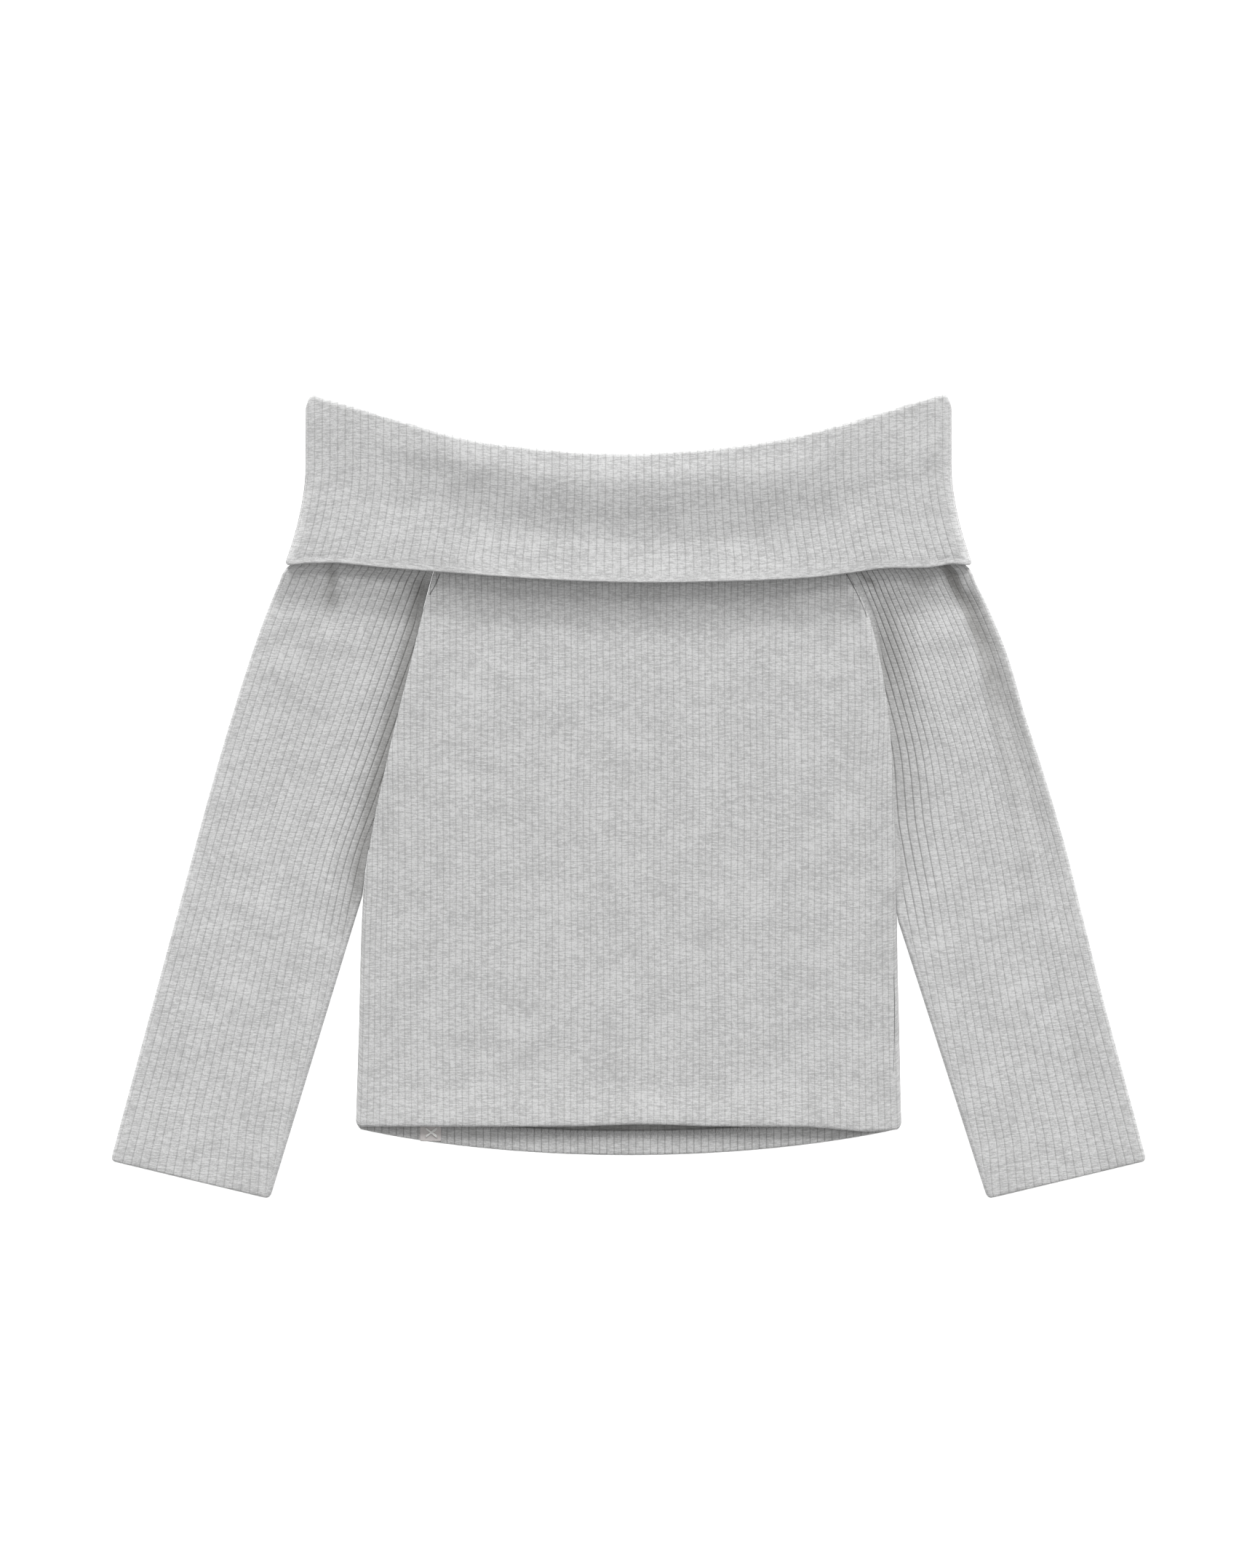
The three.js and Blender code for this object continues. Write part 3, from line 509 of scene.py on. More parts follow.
def mesh_object(name, points, quads, triangles, uv, marks):
    """A mesh object from points in millimetres, four- and three-sided faces, a UV for each point and the
    marks that its material reads, each a name with a value for each point."""
    corners = np.concatenate([quads.ravel(), triangles.ravel()]).astype(np.int32)
    sizes = np.concatenate([np.full(len(quads), 4), np.full(len(triangles), 3)]).astype(np.int32)
    mesh = bpy.data.meshes.new(name)
    mesh.vertices.add(len(points))
    mesh.vertices.foreach_set("co", (points * MM).astype(np.float32).ravel())
    mesh.loops.add(len(corners))
    mesh.loops.foreach_set("vertex_index", corners)
    mesh.polygons.add(len(sizes))
    mesh.polygons.foreach_set("loop_start", np.concatenate([[0], np.cumsum(sizes)[:-1]]).astype(np.int32))
    mesh.polygons.foreach_set("loop_total", sizes)
    mesh.polygons.foreach_set("use_smooth", np.ones(len(sizes), bool))
    mesh.update(calc_edges=True)
    layer = mesh.uv_layers.new(name="Cloth")
    layer.data.foreach_set("uv", (uv[corners] * MM).astype(np.float32).ravel())
    for mark, value in marks.items():
        mesh.attributes.new(mark, "FLOAT", "POINT").data.foreach_set("value", value.astype(np.float32))
    mesh.validate()
    piece = bpy.data.objects.new(name, mesh)
    bpy.context.scene.collection.objects.link(piece)
    return piece


def cloth_shell(name, outer, inner, relief, number, pitch, grooves=1.0, shade=0.0, flipped=False):
    """A closed cloth shell: the outer grid with its ribs raised along its normals, and the inner grid.
    The UV runs across the ribs and along them, in millimetres of cloth. Grooves is how strongly the
    grooves' painted shade shows and shade is how much painted shade lies on the cloth, each over the
    grid or as one number. A grid whose outside would face inwards is flipped: its columns are taken in
    the opposite order."""
    rows, columns = outer.shape[:2]
    grooves, shade = np.broadcast_to(grooves, (rows, columns)), np.broadcast_to(shade, (rows, columns))
    if flipped:
        number = number[::-1]
        outer, inner, relief, grooves, shade = (g[:, ::-1] for g in (outer, inner, relief, grooves, shade))
    normal = grid_normals(outer)
    stretched = mix(FOLD_RELIEF, 1, smooth(0, 0.7, np.abs(normal[..., 2])))
    raised = outer + normal * (relief * stretched)[..., None]
    uv = np.stack([np.broadcast_to(number * pitch, (rows, columns)), grid_lengths(outer)], axis=-1)
    row_at, column_at = coarse_places(rows, COARSE_ROWS), coarse_places(columns, COARSE_COLUMNS)
    coarse = np.ix_(row_at, column_at)
    quads, rim = shell_faces(rows, columns, row_at, column_at)
    points = np.concatenate([raised.reshape(-1, 3), inner[coarse].reshape(-1, 3)])
    uvs = np.concatenate([uv.reshape(-1, 2), uv[coarse].reshape(-1, 2)])
    marks = {}
    for mark, value in (("Grooves", grooves), ("Shade", shade)):
        marks[mark] = np.concatenate([value.ravel(), value[coarse].ravel()])
    return mesh_object(name, points, quads, rim, uvs, marks)


def declare(piece, nodes, slot, material, **sheet):
    """Gives a finished piece its material and its body, and hides the solids that it stands for.
    Its slot and its cut are not used.
    """
    piece.data.materials.append(material)
    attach(piece, "root")
    if nodes:
        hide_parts(*nodes)


class Signal:
    """A shader socket that adds Math nodes when it is used in a sum, difference, product or quotient."""

    def __init__(self, graph, socket):
        self.graph, self.socket = graph, socket

    def math(self, operation, first, second=None):
        return self.graph.node("ShaderNodeMath", {"operation": operation}, {0: first, 1: second})

    def __add__(self, other):
        return self.math("ADD", self, other)

    def __sub__(self, other):
        return self.math("SUBTRACT", self, other)

    def __rsub__(self, other):
        return self.math("SUBTRACT", other, self)

    def __mul__(self, other):
        return self.math("MULTIPLY", self, other)

    def __truediv__(self, other):
        return self.math("DIVIDE", self, other)

    def __abs__(self):
        return self.math("ABSOLUTE", self)

    __radd__ = __add__
    __rmul__ = __mul__


class Graph:
    """The node tree of one material."""

    def __init__(self, name):
        self.material = bpy.data.materials.new(name)
        self.material.use_nodes = True
        self.tree = self.material.node_tree
        self.tree.nodes.clear()

    def node(self, kind, settings=None, inputs=None, output=0):
        """Makes a node, sets its settings, then its sockets from values or links, and returns an output."""
        made = self.tree.nodes.new(kind)
        for key, value in (settings or {}).items():
            setattr(made, key, value)
        for key, value in (inputs or {}).items():
            if isinstance(value, Signal):
                self.tree.links.new(value.socket, made.inputs[key])
            elif value is not None:
                made.inputs[key].default_value = value
        return Signal(self, made.outputs[output]) if len(made.outputs) else None

    def ramp(self, signal, low, high, to_low=0.0, to_high=1.0):
        """The signal's stretch from low to high carried smoothly to another."""
        settings = {"interpolation_type": "SMOOTHSTEP"}
        return self.node("ShaderNodeMapRange", settings, {0: signal, 1: low, 2: high, 3: to_low, 4: to_high})

    def noise(self, x, y, scale, detail, seed):
        """Noise whose grains have the given size across and along the cloth, in metres."""
        place = self.node("ShaderNodeCombineXYZ", None, {0: x / scale[0], 1: y / scale[1], 2: seed})
        return self.node("ShaderNodeTexNoise", None, {"Vector": place, "Scale": 1.0, "Detail": detail})

    def mix(self, factor, first, second):
        """A colour a share of the way between two."""
        inputs = {0: factor, 6: first, 7: second}
        return self.node("ShaderNodeMix", {"data_type": "RGBA"}, inputs, output=2)


def knit_material(name, pitch, cloth):
    """Marl rib knit that follows the cloth's UV. Its lightness adds long pale and dark flecks that lie
    across the ribs, short ones within a rib, grains of single loops and slow clouds. Painted shade
    darkens the grooves, in some ribs more than in others, and darkens the cloth where its Shade mark
    says. The bump adds grooves, loops and fuzz."""
    g = Graph(name)
    uv = g.node("ShaderNodeUVMap", {"uv_map": "Cloth"})
    split = g.node("ShaderNodeSeparateXYZ", None, {0: uv})
    across, along = split, Signal(g, split.socket.node.outputs[1])
    rib = across / (pitch * MM)
    number = g.node("ShaderNodeMath", {"operation": "FLOOR"}, {0: rib})
    phase = rib - number
    from_groove = 0.5 - abs(phase - 0.5)

    fleck = g.noise(across, along, (0.005, 0.0008), 2.0, 1.7)
    dash = g.noise(number * 0.0031, along, (0.001, 0.0016), 1.0, 4.1)
    grain = g.noise(across, along, (0.0011, 0.0008), 2.0, 7.3)
    cloud = g.noise(across, along, (0.034, 0.022), 2.0, 9.9)
    wander = g.noise(number * 0.0047, along, (0.001, 0.006), 2.0, 2.2)

    marl = cloth.marl
    light = 0.5 + (fleck - 0.5) * (1.75 * marl) + (dash - 0.5) * (0.3 * marl)
    light = light + (grain - 0.5) * (1.2 * marl) + (cloud - 0.5) * (0.5 * marl)
    # Painted shade in the grooves, scaled by the Grooves mark and varied from rib to rib.
    groove = g.ramp(from_groove, 0.015, 0.11, 1.0, 0.0)
    strength = g.node("ShaderNodeAttribute", {"attribute_name": "Grooves"}, None, output=2)
    shade = groove * g.ramp(wander, 0.3, 0.62, 0.6, 1.0) * strength
    dark, pale = [tuple(c) + (1.0,) for c in (cloth.dark_yarn, cloth.pale_yarn)]
    yarn = g.mix(g.ramp(light, 0.0, 1.0), dark, pale)
    lined = g.mix(shade * cloth.groove_shade_strength, yarn, tuple(cloth.groove_shade_colour) + (1.0,))
    # Painted shade: the Shade mark mixes the colour towards a dark warm tone where shade falls.
    painted_shade = g.node("ShaderNodeAttribute", {"attribute_name": "Shade"}, None, output=2)
    colour = g.mix(painted_shade, lined, PAINTED_SHADE_COLOUR)

    loops = g.node(
        "ShaderNodeTexWave",
        {"wave_type": "BANDS", "bands_direction": "Y"},
        {"Vector": uv, "Scale": 2 * math.pi / 20 / LOOP_PITCH, "Distortion": 2.5, "Detail": 2.0},
    )
    height = g.ramp(from_groove, 0.0, 0.13) * 0.35 + loops * 0.10 + grain * 0.30 + fleck * 0.22
    bump_inputs = {"Strength": 0.55, "Distance": 0.0005, "Height": height}
    normal = g.node("ShaderNodeBump", None, bump_inputs)
    rough = g.ramp(grain, 0.2, 0.8, 0.86, 0.98)
    shader = g.node(
        "ShaderNodeBsdfPrincipled",
        None,
        {
            "Base Color": colour,
            "Roughness": rough,
            "Normal": normal,
            "Specular IOR Level": 0.2,
            "Sheen Weight": 0.12,
            "Sheen Roughness": 0.6,
        },
    )
    g.node("ShaderNodeOutputMaterial", None, {0: shader})
    return g.material


def plain_material(name, colour, roughness, weave):
    """Plain woven tape, thread or board: a colour with a fine noise in it."""
    g = Graph(name)
    place = g.node("ShaderNodeTexCoord", None, None, output=3)
    grain = g.node("ShaderNodeTexNoise", None, {"Vector": place, "Scale": weave, "Detail": 3.0})
    pale, dark = (*colour, 1.0), (*[c * 0.86 for c in colour], 1.0)
    normal = g.node("ShaderNodeBump", None, {"Strength": 0.25, "Distance": 0.0002, "Height": grain})
    inputs = {
        "Base Color": g.mix(g.ramp(grain, 0.35, 0.7), dark, pale),
        "Roughness": roughness,
        "Normal": normal,
        "Specular IOR Level": 0.2,
    }
    g.node("ShaderNodeOutputMaterial", None, {0: g.node("ShaderNodeBsdfPrincipled", None, inputs)})
    return g.material


class ClothSettings(bpy.types.PropertyGroup):
    """Sizes and colours of the knit."""

    rib_height: bpy.props.FloatProperty(
        name="Rib height", description="A rib's crest above its grooves", default=0.0003, unit="LENGTH"
    )
    wall: bpy.props.FloatProperty(
        name="Cloth thickness", description="One layer of the knit between its ribs", default=0.00125,
        unit="LENGTH",
    )
    hem: bpy.props.FloatProperty(
        name="Hem depth", description="How far hems and cuffs are turned up", default=0.018, unit="LENGTH"
    )
    pale_yarn: bpy.props.FloatVectorProperty(
        name="Pale yarn", description="Lightest flecks of the marl", subtype="COLOR",
        default=(0.672, 0.673, 0.672),
    )
    dark_yarn: bpy.props.FloatVectorProperty(
        name="Dark yarn", description="Darkest flecks of the marl", subtype="COLOR",
        default=(0.45, 0.45, 0.449),
    )
    # Painted shade: the colour that the grooves are darkened towards.
    groove_shade_colour: bpy.props.FloatVectorProperty(
        name="Groove", description="Colour deep between two ribs", subtype="COLOR",
        default=(0.24, 0.24, 0.237),
    )
    # How strongly the painted shade darkens the grooves.
    groove_shade_strength: bpy.props.FloatProperty(
        name="Groove strength", description="How much the grooves darken", default=0.38, min=0, max=1
    )
    marl: bpy.props.FloatProperty(
        name="Marl", description="Contrast of the marl's flecks", default=1.25, min=0, max=3
    )


class StudioSettings(bpy.types.PropertyGroup):
    """Camera, floor and light."""

    camera_height: bpy.props.FloatProperty(
        name="Camera height", description="Above the surface", default=4.0, unit="LENGTH"
    )
    frame_height: bpy.props.FloatProperty(
        name="Frame height", description="Length of the surface that the picture shows", default=1.1498,
        unit="LENGTH",
    )
    key_strength: bpy.props.FloatProperty(
        name="Window light", description="Strength of the low light beyond the collar", default=4.28
    )
    key_height: bpy.props.FloatProperty(
        name="Window height", description="Angle of the low light above the surface",
        default=math.radians(22), subtype="ANGLE"
    )
    key_turn: bpy.props.FloatProperty(
        name="Window turn", description="Angle of the low light towards the left of the collar",
        default=math.radians(-3), subtype="ANGLE"
    )
    key_size: bpy.props.FloatProperty(
        name="Window size", description="Angle that the low light covers, which softens its shadows",
        default=math.radians(22), subtype="ANGLE"
    )
    fill: bpy.props.FloatProperty(
        name="Room light", description="Strength of the even light from all round", default=0.51
    )
    floor_colour: bpy.props.FloatVectorProperty(
        name="Floor", description="Pale plain floor", subtype="COLOR", default=(0.93, 0.93, 0.93)
    )
    floor_glow: bpy.props.FloatProperty(
        name="Floor glow", description="Light of the floor's own, as of a lit table", default=0.62
    )


def settings():
    """The scene's garment settings."""
    return bpy.context.scene.garment_cloth


def build_front(cloth):
    """The front: rows run from the raw edge of the turned-up hem, round the hem's fold and up to the
    armholes and the neck seam. Each column keeps its place across and is cut off at the panel's top.
    Painted shade is stronger in the grooves under the flap and lies lightly over the lower half."""
    wall = cloth.wall / MM
    c = body_columns(RIBS["front"])
    t, angle = c["t"][None, :], c["angle"][None, :]
    hem = hem_rows(cloth.hem / MM, wall, 6, 8)
    base, top = front_hem(c["hem"][None, :]), body_top(body_x(t, angle, underarm(t), 0))
    rows = panel_rows([2.2, 4, 7, 11, 15, 18, 19.2, 20, 20.8, 22], 83, base, top)

    def place(up, deep):
        y, deep = rows(up, deep)
        flat_x = body_x(t, 0 * angle, y, 0)
        inward = body_edge(flat_x, y) - np.abs(flat_x)
        upper = smooth(underarm(t) - 20, underarm(t) + 30, y) * smooth(172, 140, y)
        roll = np.where(t > 0, ARMHOLE_ROLL["right"], ARMHOLE_ROLL["left"]) * swell(inward, 5.5, 4.5)
        beside = upper * (roll - ARMHOLE_DIP * smooth(3, 0, inward))
        face = front_height(flat_x, y) + creases(FRONT_CREASES, flat_x, y) * smooth(0, 14, inward)
        face = face + beside + hem_dent(y - base, *HEM_DENT["front"])
        fold_z = front_height(flat_x, y) / 2 + HALF_SEAM
        z = fold_z + (face - deep - fold_z) * np.cos(angle)
        lean = RIB_LEAN * swell(y, 60, 45) * smooth(120, 185, flat_x) * smooth(195, 180, flat_x)
        x = body_x(t, angle, y, deep) + lean + RIB_WAVER * np.sin(y / 31 + flat_x / 47)
        return np.stack(np.broadcast_arrays(x, y, z), axis=-1)

    outer, inner = both_faces(place, hem, wall)
    relief = cloth.rib_height / MM * c["height"][None, :] * np.ones((len(outer), 1))
    relief[: len(hem["up"])] *= TURNED_RELIEF
    y = outer[:, :, 1]
    # Painted shade: stronger in the grooves under the flap, and a little over the lower half.
    grooves, shade = 0.9 + 0.5 * smooth(140, 158, y), 0.03 * smooth(120, 40, y)
    return cloth_shell("front_cloth", outer, inner, relief, c["number"], RIB_PITCH["front"], grooves, shade)


def build_back(cloth):
    """The back: rows run from the raw edge of the turned-up hem, which shows its ribs, round the fold and
    along the underside, which lies flat, up onto the collar's back. The inside of the hem has a little
    painted shade and darker grooves, and more painted shade lies in the gap under the front's hem, most
    of all where that gap is widest."""
    wall = cloth.wall / MM
    c = body_columns(RIBS["back"])
    t, angle, height = (c[key][None, :] for key in ("t", "angle", "height"))
    hem = hem_rows(cloth.hem / MM, wall, 12, 8)
    above, steps = [3, 8, 14, 20], 36
    base, top = back_hem(c["hem"][None, :]), body_top(body_x(t, angle, underarm(t), 0))
    rows = panel_rows(above, steps, base, top)

    def place(up, deep):
        y, deep = rows(up, deep)
        flat_x = body_x(t, 0 * angle, y, 0)
        face = LIFT["back"] * lifted(flat_x, y)
        fold_z = front_height(flat_x, np.maximum(y, front_hem(flat_x))) / 2 - HALF_SEAM
        z = fold_z - (fold_z - face - deep) * np.cos(angle)
        return np.stack(np.broadcast_arrays(body_x(t, angle, y, deep), y, z), axis=-1)

    outer, inner = both_faces(place, hem, wall)
    deep = np.concatenate([hem["deep"], np.zeros(len(above) + steps)])[:, None]
    turned = smooth(0.8 * wall, 1.6 * wall, deep)
    relief = mix(UNDERSIDE_GROOVE * (height - 1) * np.cos(angle), cloth.rib_height / MM * height, turned)
    below = front_hem(outer[:, :, 0]) - outer[:, :, 1]
    # Painted shade in the gap under the front's hem.
    gap = 0.4 * swell(outer[:, :, 0], 8, 48) * smooth(6.5, 2, below) + 0.15 * smooth(4, 1, below)
    return cloth_shell("back_cloth", outer, inner, relief, c["number"], RIB_PITCH["back"],
                       1 + 0.7 * turned, 0.08 * turned + gap, flipped=True)


def sleeve_columns(count):
    """Columns round a sleeve: the front's inner edge, its ribs, the outer fold, the back's ribs and the
    back's inner edge. Kind is 0 on the front, 1 in the fold, 2 on the back and 3 or 4 at the two edges."""
    ribs = rib_columns(0.5, count)
    edge = np.linspace(np.pi / 2, 0, ROLL_STEPS + 1)[:-1]
    fold = np.linspace(0, np.pi, 2 * ROLL_STEPS + 1)[1:-1]
    fold = np.append(fold, fold[-1] + 0.05)
    parts = [
        {"kind": 3, "across": 0 * edge, "angle": edge, "number": -edge / 2, "height": 0 * edge},
        {"kind": 0, "across": ribs["t"] + 0.5, "angle": 0 * ribs["t"], "number": ribs["number"],
         "height": ribs["height"]},
        {"kind": 1, "across": 0 * fold + 1, "angle": fold, "number": count + fold / 2, "height": 0 * fold},
        {"kind": 2, "across": 0.5 - ribs["t"], "angle": 0 * ribs["t"], "number": count + 2 + ribs["number"],
         "height": ribs["height"]},
        {"kind": 4, "across": 0 * edge, "angle": edge[::-1], "number": 2 * count + 3 + edge / 2,
         "height": 0 * edge},
    ]
    columns = {k: np.concatenate([p[k] for p in parts]) for k in ("across", "angle", "number", "height")}
    columns["kind"] = np.concatenate([np.full(len(p["across"]), p["kind"]) for p in parts])
    return columns


def build_sleeve(cloth, side):
    """A sleeve: rows run from the neck seam down to the cuff, round its fold and back inside. Across each
    row the cloth goes over the front, round the outer fold and back underneath. Above the underarm its
    front runs on under the body's edge, and below it the two edges close in a seam. The grooves are
    deeper beside the body, and their painted shade is stronger there and under the flap. Painted shade
    lies in spots, along the armhole and, on the right sleeve, in a band beyond its ridge, where the
    grooves' painted shade is fainter."""
    wall = cloth.wall / MM
    sign = -1 if side == "left" else 1
    bottom = UNDERARM[side]
    c = {k: v[None, :] for k, v in sleeve_columns(RIBS["sleeve"]).items()}
    kind, angle = c["kind"], c["angle"]
    front_side = (kind == 0) | (kind == 3)
    hem = hem_rows(cloth.hem / MM, wall, 5, 8)
    end = SLEEVE_END["inner_y"]
    down = np.concatenate([np.linspace(SLEEVE_TOP["inner_y"], 120, 24)[:-1], np.linspace(120, end + 24, 62)])
    near_end = end + np.array([21, 20, 19, 14, 8, 4])
    rib_edge = curve(RIB_EDGE[side]["y"], RIB_EDGE[side]["x"])
    profile = curve(SLEEVE_PROFILE[side]["at"], SLEEVE_PROFILE[side]["z"])
    table = LEFT_CREASES if side == "left" else RIGHT_CREASES

    def inner_x(y):
        reach = mix(EDGE[side](bottom), SLEEVE_END["inner_x"], (bottom - y) / (bottom - end))
        return np.where(y > bottom, EDGE[side](y), reach) + HALF_SEAM

    def place(up, deep):
        inner_y = np.concatenate([down, near_end, end + up[::-1]])[:, None]
        deep = np.concatenate([np.full(len(down) + len(near_end), deep[-1]), deep[::-1]])[:, None]
        share = (SLEEVE_TOP["inner_y"] - inner_y) / (SLEEVE_TOP["inner_y"] - end)
        outer_y = mix(SLEEVE_TOP["outer_y"], SLEEVE_END["outer_y"], share)
        ix, ox = inner_x(inner_y), outer_edge(outer_y) + (side == "right") * right_bulge(outer_y)
        width = np.hypot(ox - ix, outer_y - inner_y)
        closed = smooth(bottom + 24, bottom - 6, inner_y)
        tube = smooth(bottom + 60, bottom - 60, inner_y)
        shoulder = smooth(*TUCK[side]["dip"], inner_y)
        under = TUCK_WIDTH * smooth(*TUCK[side]["slide"], inner_y) * smooth(*TUCK_FADE, inner_y)
        roll = SLEEVE_ROLL / width
        tight = (SLEEVE_ROLL - np.minimum(deep, SLEEVE_ROLL - 0.3)) / width
        shift = closed * (roll - tight)
        spread = RIB_SPREAD[side] * swell(inner_y, -10, 110) * c["across"] * (1 - c["across"])
        first = roll - under / width * (kind == 0)
        beyond = mix((rib_edge(inner_y) - ix) / (ox - ix), 1 - roll, c["across"] + spread) - first
        soft = np.hypot(beyond, 2 * SQUEEZE / width)
        u = first + (beyond + soft) / 2
        shown = smooth(0.3, 0.85, (1 + beyond / soft) / 2)
        from_edge = (u - roll) * width
        u = np.where(kind == 1, 1 - roll + tight * np.sin(angle), u)
        fanned = mix(1 - angle / (np.pi / 2), 1 - np.sin(angle), closed)
        u = np.where(kind >= 3, shift + (roll - shift) * fanned, u)
        u = np.where(kind == 3, u - under / width, u)
        x, y = mix(ix, ox, u), mix(inner_y, outer_y, u)
        y = np.where(np.arange(len(y))[:, None] == 0, neck_seam(x) - HALF_SEAM, y)
        from_end, radius = inner_y - end, CUFF_CORNER["radius"]
        past = np.clip(radius - np.minimum(u, 1 - u) * width, 0, radius)
        rounded = radius - np.sqrt(radius**2 - past**2)
        rounded = rounded * np.clip(1 - from_end / CUFF_CORNER["fades_over"], 0, 1)
        x, y = x - CUFF_CORNER["lean"] * rounded, y + rounded
        rise = lifted(x, y)
        flat_u = np.clip(np.where(kind == 1, 1 - roll, u), 0, 1)
        tube_z = CUFF_Z + CUFF_CROWN * np.sin(np.pi * flat_u)
        dressed = mix(profile(flat_u), tube_z, tube)
        to_neck = shoulder * (1 - 0.6 * flat_u * (1 - rise))
        away = smooth(0, 0.08, flat_u) * smooth(1, 0.93, flat_u)
        front_z = mix(dressed, SHOULDER_Z, to_neck) + LIFT["front"] * rise
        front_z = front_z + creases(table, sign * x, y) * away * (1 - 0.7 * rise)
        front_z = front_z + hem_dent(from_end, *HEM_DENT["cuff"])
        back_z = LIFT["back"] * rise
        top, low = front_z - deep, back_z + deep
        folded = (top + low) / 2 + (top - low) / 2 * np.cos(angle)
        middle = (front_z + back_z) / 2
        over = middle + HALF_SEAM + (top - middle - HALF_SEAM) * np.cos(angle)
        below = middle - HALF_SEAM + (low - middle + HALF_SEAM) * np.cos(angle)
        z = np.select(
            [kind == 0, kind == 1, kind == 2, kind == 3],
            [top + 0 * u, folded, low + 0 * u, mix(top, over, closed)],
            mix(low, below, closed),
        )
        return np.stack(np.broadcast_arrays(sign * x, y, z), axis=-1), shown, from_edge, u

    (outer, shown, from_edge, u), (inner, *_) = both_faces(place, hem, wall)
    x, y = outer[:, :, 0], outer[:, :, 1]
    by_body = smooth(-120, -50, y) * smooth(175, 150, y) * front_side
    strength = 1 + DEEPER_GROOVES[side] * smooth(42, 6, from_edge) * by_body
    ribs = cloth.rib_height / MM * c["height"] * strength
    relief = np.where(front_side, ribs, UNDERSIDE_GROOVE * (c["height"] - 1) * (kind == 2)) * shown
    # Painted shade in the grooves is stronger beside the body and under the flap.
    grooves = mix(1, strength, front_side) * shown * (1 + 0.9 * smooth(136, 160, y) * front_side)
    # Painted shade in spots and strips along the armhole and, on the right sleeve, in the band beyond its
    # ridge.
    if side == "left":
        grooves = grooves * (1 - 0.25 * smooth(20, 120, y) * smooth(30, 60, from_edge))
        shade = creases(LEFT_SHADE_SPOTS, x, y) * front_side + seam_shade(side, from_edge) * by_body
    else:
        band = smooth(band_place(y) - 0.01, band_place(y) + 0.07, u)
        band = band * (1 - 0.65 * smooth(0.84, 1, u) * smooth(55, 110, y))
        band = band * (1 - smooth(0.85, 0.9, u) * smooth(144, 156, y))
        grooves = grooves * (1 - 0.5 * band * smooth(-90, 60, y) * front_side)
        shade = (creases(RIGHT_SHADE_SPOTS, x, y) + band_shade(y) * band) * front_side
        shade = shade + seam_shade(side, from_edge) * by_body * smooth(130, 100, y)
    return cloth_shell(f"{side}_sleeve_cloth", outer, inner, relief, c["number"][0], RIB_PITCH["sleeve"],
                       grooves, shade.clip(0, MOST_SHADE), flipped=side == "right")


def collar_rows(wall):
    """Rows of the collar from the flap's lower edge over the top fold to the neck seam. Each blends the
    lower edge, the fold line and the neck seam, adds a distance, and has a depth within the loop, for
    the outer and the inner face. The lower edge is half a circle and the fold two quarter ellipses."""
    edge = np.linspace(0, np.pi / 2, 9)[:-1]
    slim = edge + 0.04
    flap = np.append(np.linspace(0, 0.08, 8)[:-1], np.linspace(0.08, 1, 50))
    fold = np.linspace(0, np.pi, 15)[1:-1]
    stand = np.linspace(0, 1, 12)
    half, base, tip = wall / 2, 0.5, 0.8
    fold_deep, stand_deep, stand_inner = 3.55, 6.6, 3.6
    soft = 4
    return {
        "lower": np.concatenate([0 * edge + 1, 1 - flap, 0 * fold, 0 * stand]),
        "fold": np.concatenate([0 * edge, flap, 0 * fold + 1, 1 - stand]),
        "neck": np.concatenate([0 * edge, 0 * flap, 0 * fold, stand]),
        "add": np.concatenate([tip * (1 - np.cos(edge)), mix(tip, -soft, flap), soft * (np.sin(fold) - 1),
                               mix(-soft, HALF_SEAM, stand)]),
        "deep": np.concatenate([base + half * (1 - np.sin(edge)), 0 * flap + base,
                                fold_deep + (base - fold_deep) * np.cos(fold), 0 * stand + stand_deep]),
        "inner_add": np.concatenate([tip * (1 - np.cos(slim)), mix(tip, -6, flap),
                                     2 * (np.sin(fold) - 1) - 3.6, mix(-6, HALF_SEAM, stand)]),
        "inner_deep": np.concatenate([base + half * (1 + np.sin(slim)), 0 * flap + base + wall,
                                      3.35 - 0.25 * np.cos(fold), 0 * stand + stand_inner]),
    }


def flap_height(x, y, from_low, deep):
    """How far the flap stands above the plain loop: a crest below the fold that falls further down, a
    rise towards the lower edge that is less at the sides, the creases, and the roll at the edge's ends.
    The sides are pressed flat, and all of it fades out with the depth within the loop."""
    far, fall = np.abs(x), flap_fall(x)
    down = (fold_line(x) - y) / (fold_line(x) - lower_edge(x))
    crest = flap_drop(x) * (0.6 + 0.4 * smooth(-0.02, 0.24, down) - smooth(fall - 0.26, fall + 0.24, down))
    less = FLAP_LOW["side_share"] * smooth(FLAP_LOW["side_from"], FLAP_LOW["side_to"], far)
    near = np.clip((down - FLAP_LOW["from"]) / (1 - FLAP_LOW["from"]), 0, 1)
    rise = FLAP_LOW["rise"] * (1 - less) * near ** FLAP_LOW["power"]
    pressed = 1 - 0.9 * smooth(205, 246, far) * smooth(0.4, 0.9, down)
    start, full = (np.where(x < 0, left, right) for left, right in zip(*FLAP_ROLL_FROM.values()))
    roll = sum(z * swell(from_low, at, wide) for at, wide, z in zip(*FLAP_ROLL.values()))
    soft = (crest + 0.4 + rise + creases(COLLAR_CREASES, x, y)) * pressed
    return (soft + roll * smooth(start, full, far)) * smooth(4.5, 1, deep)


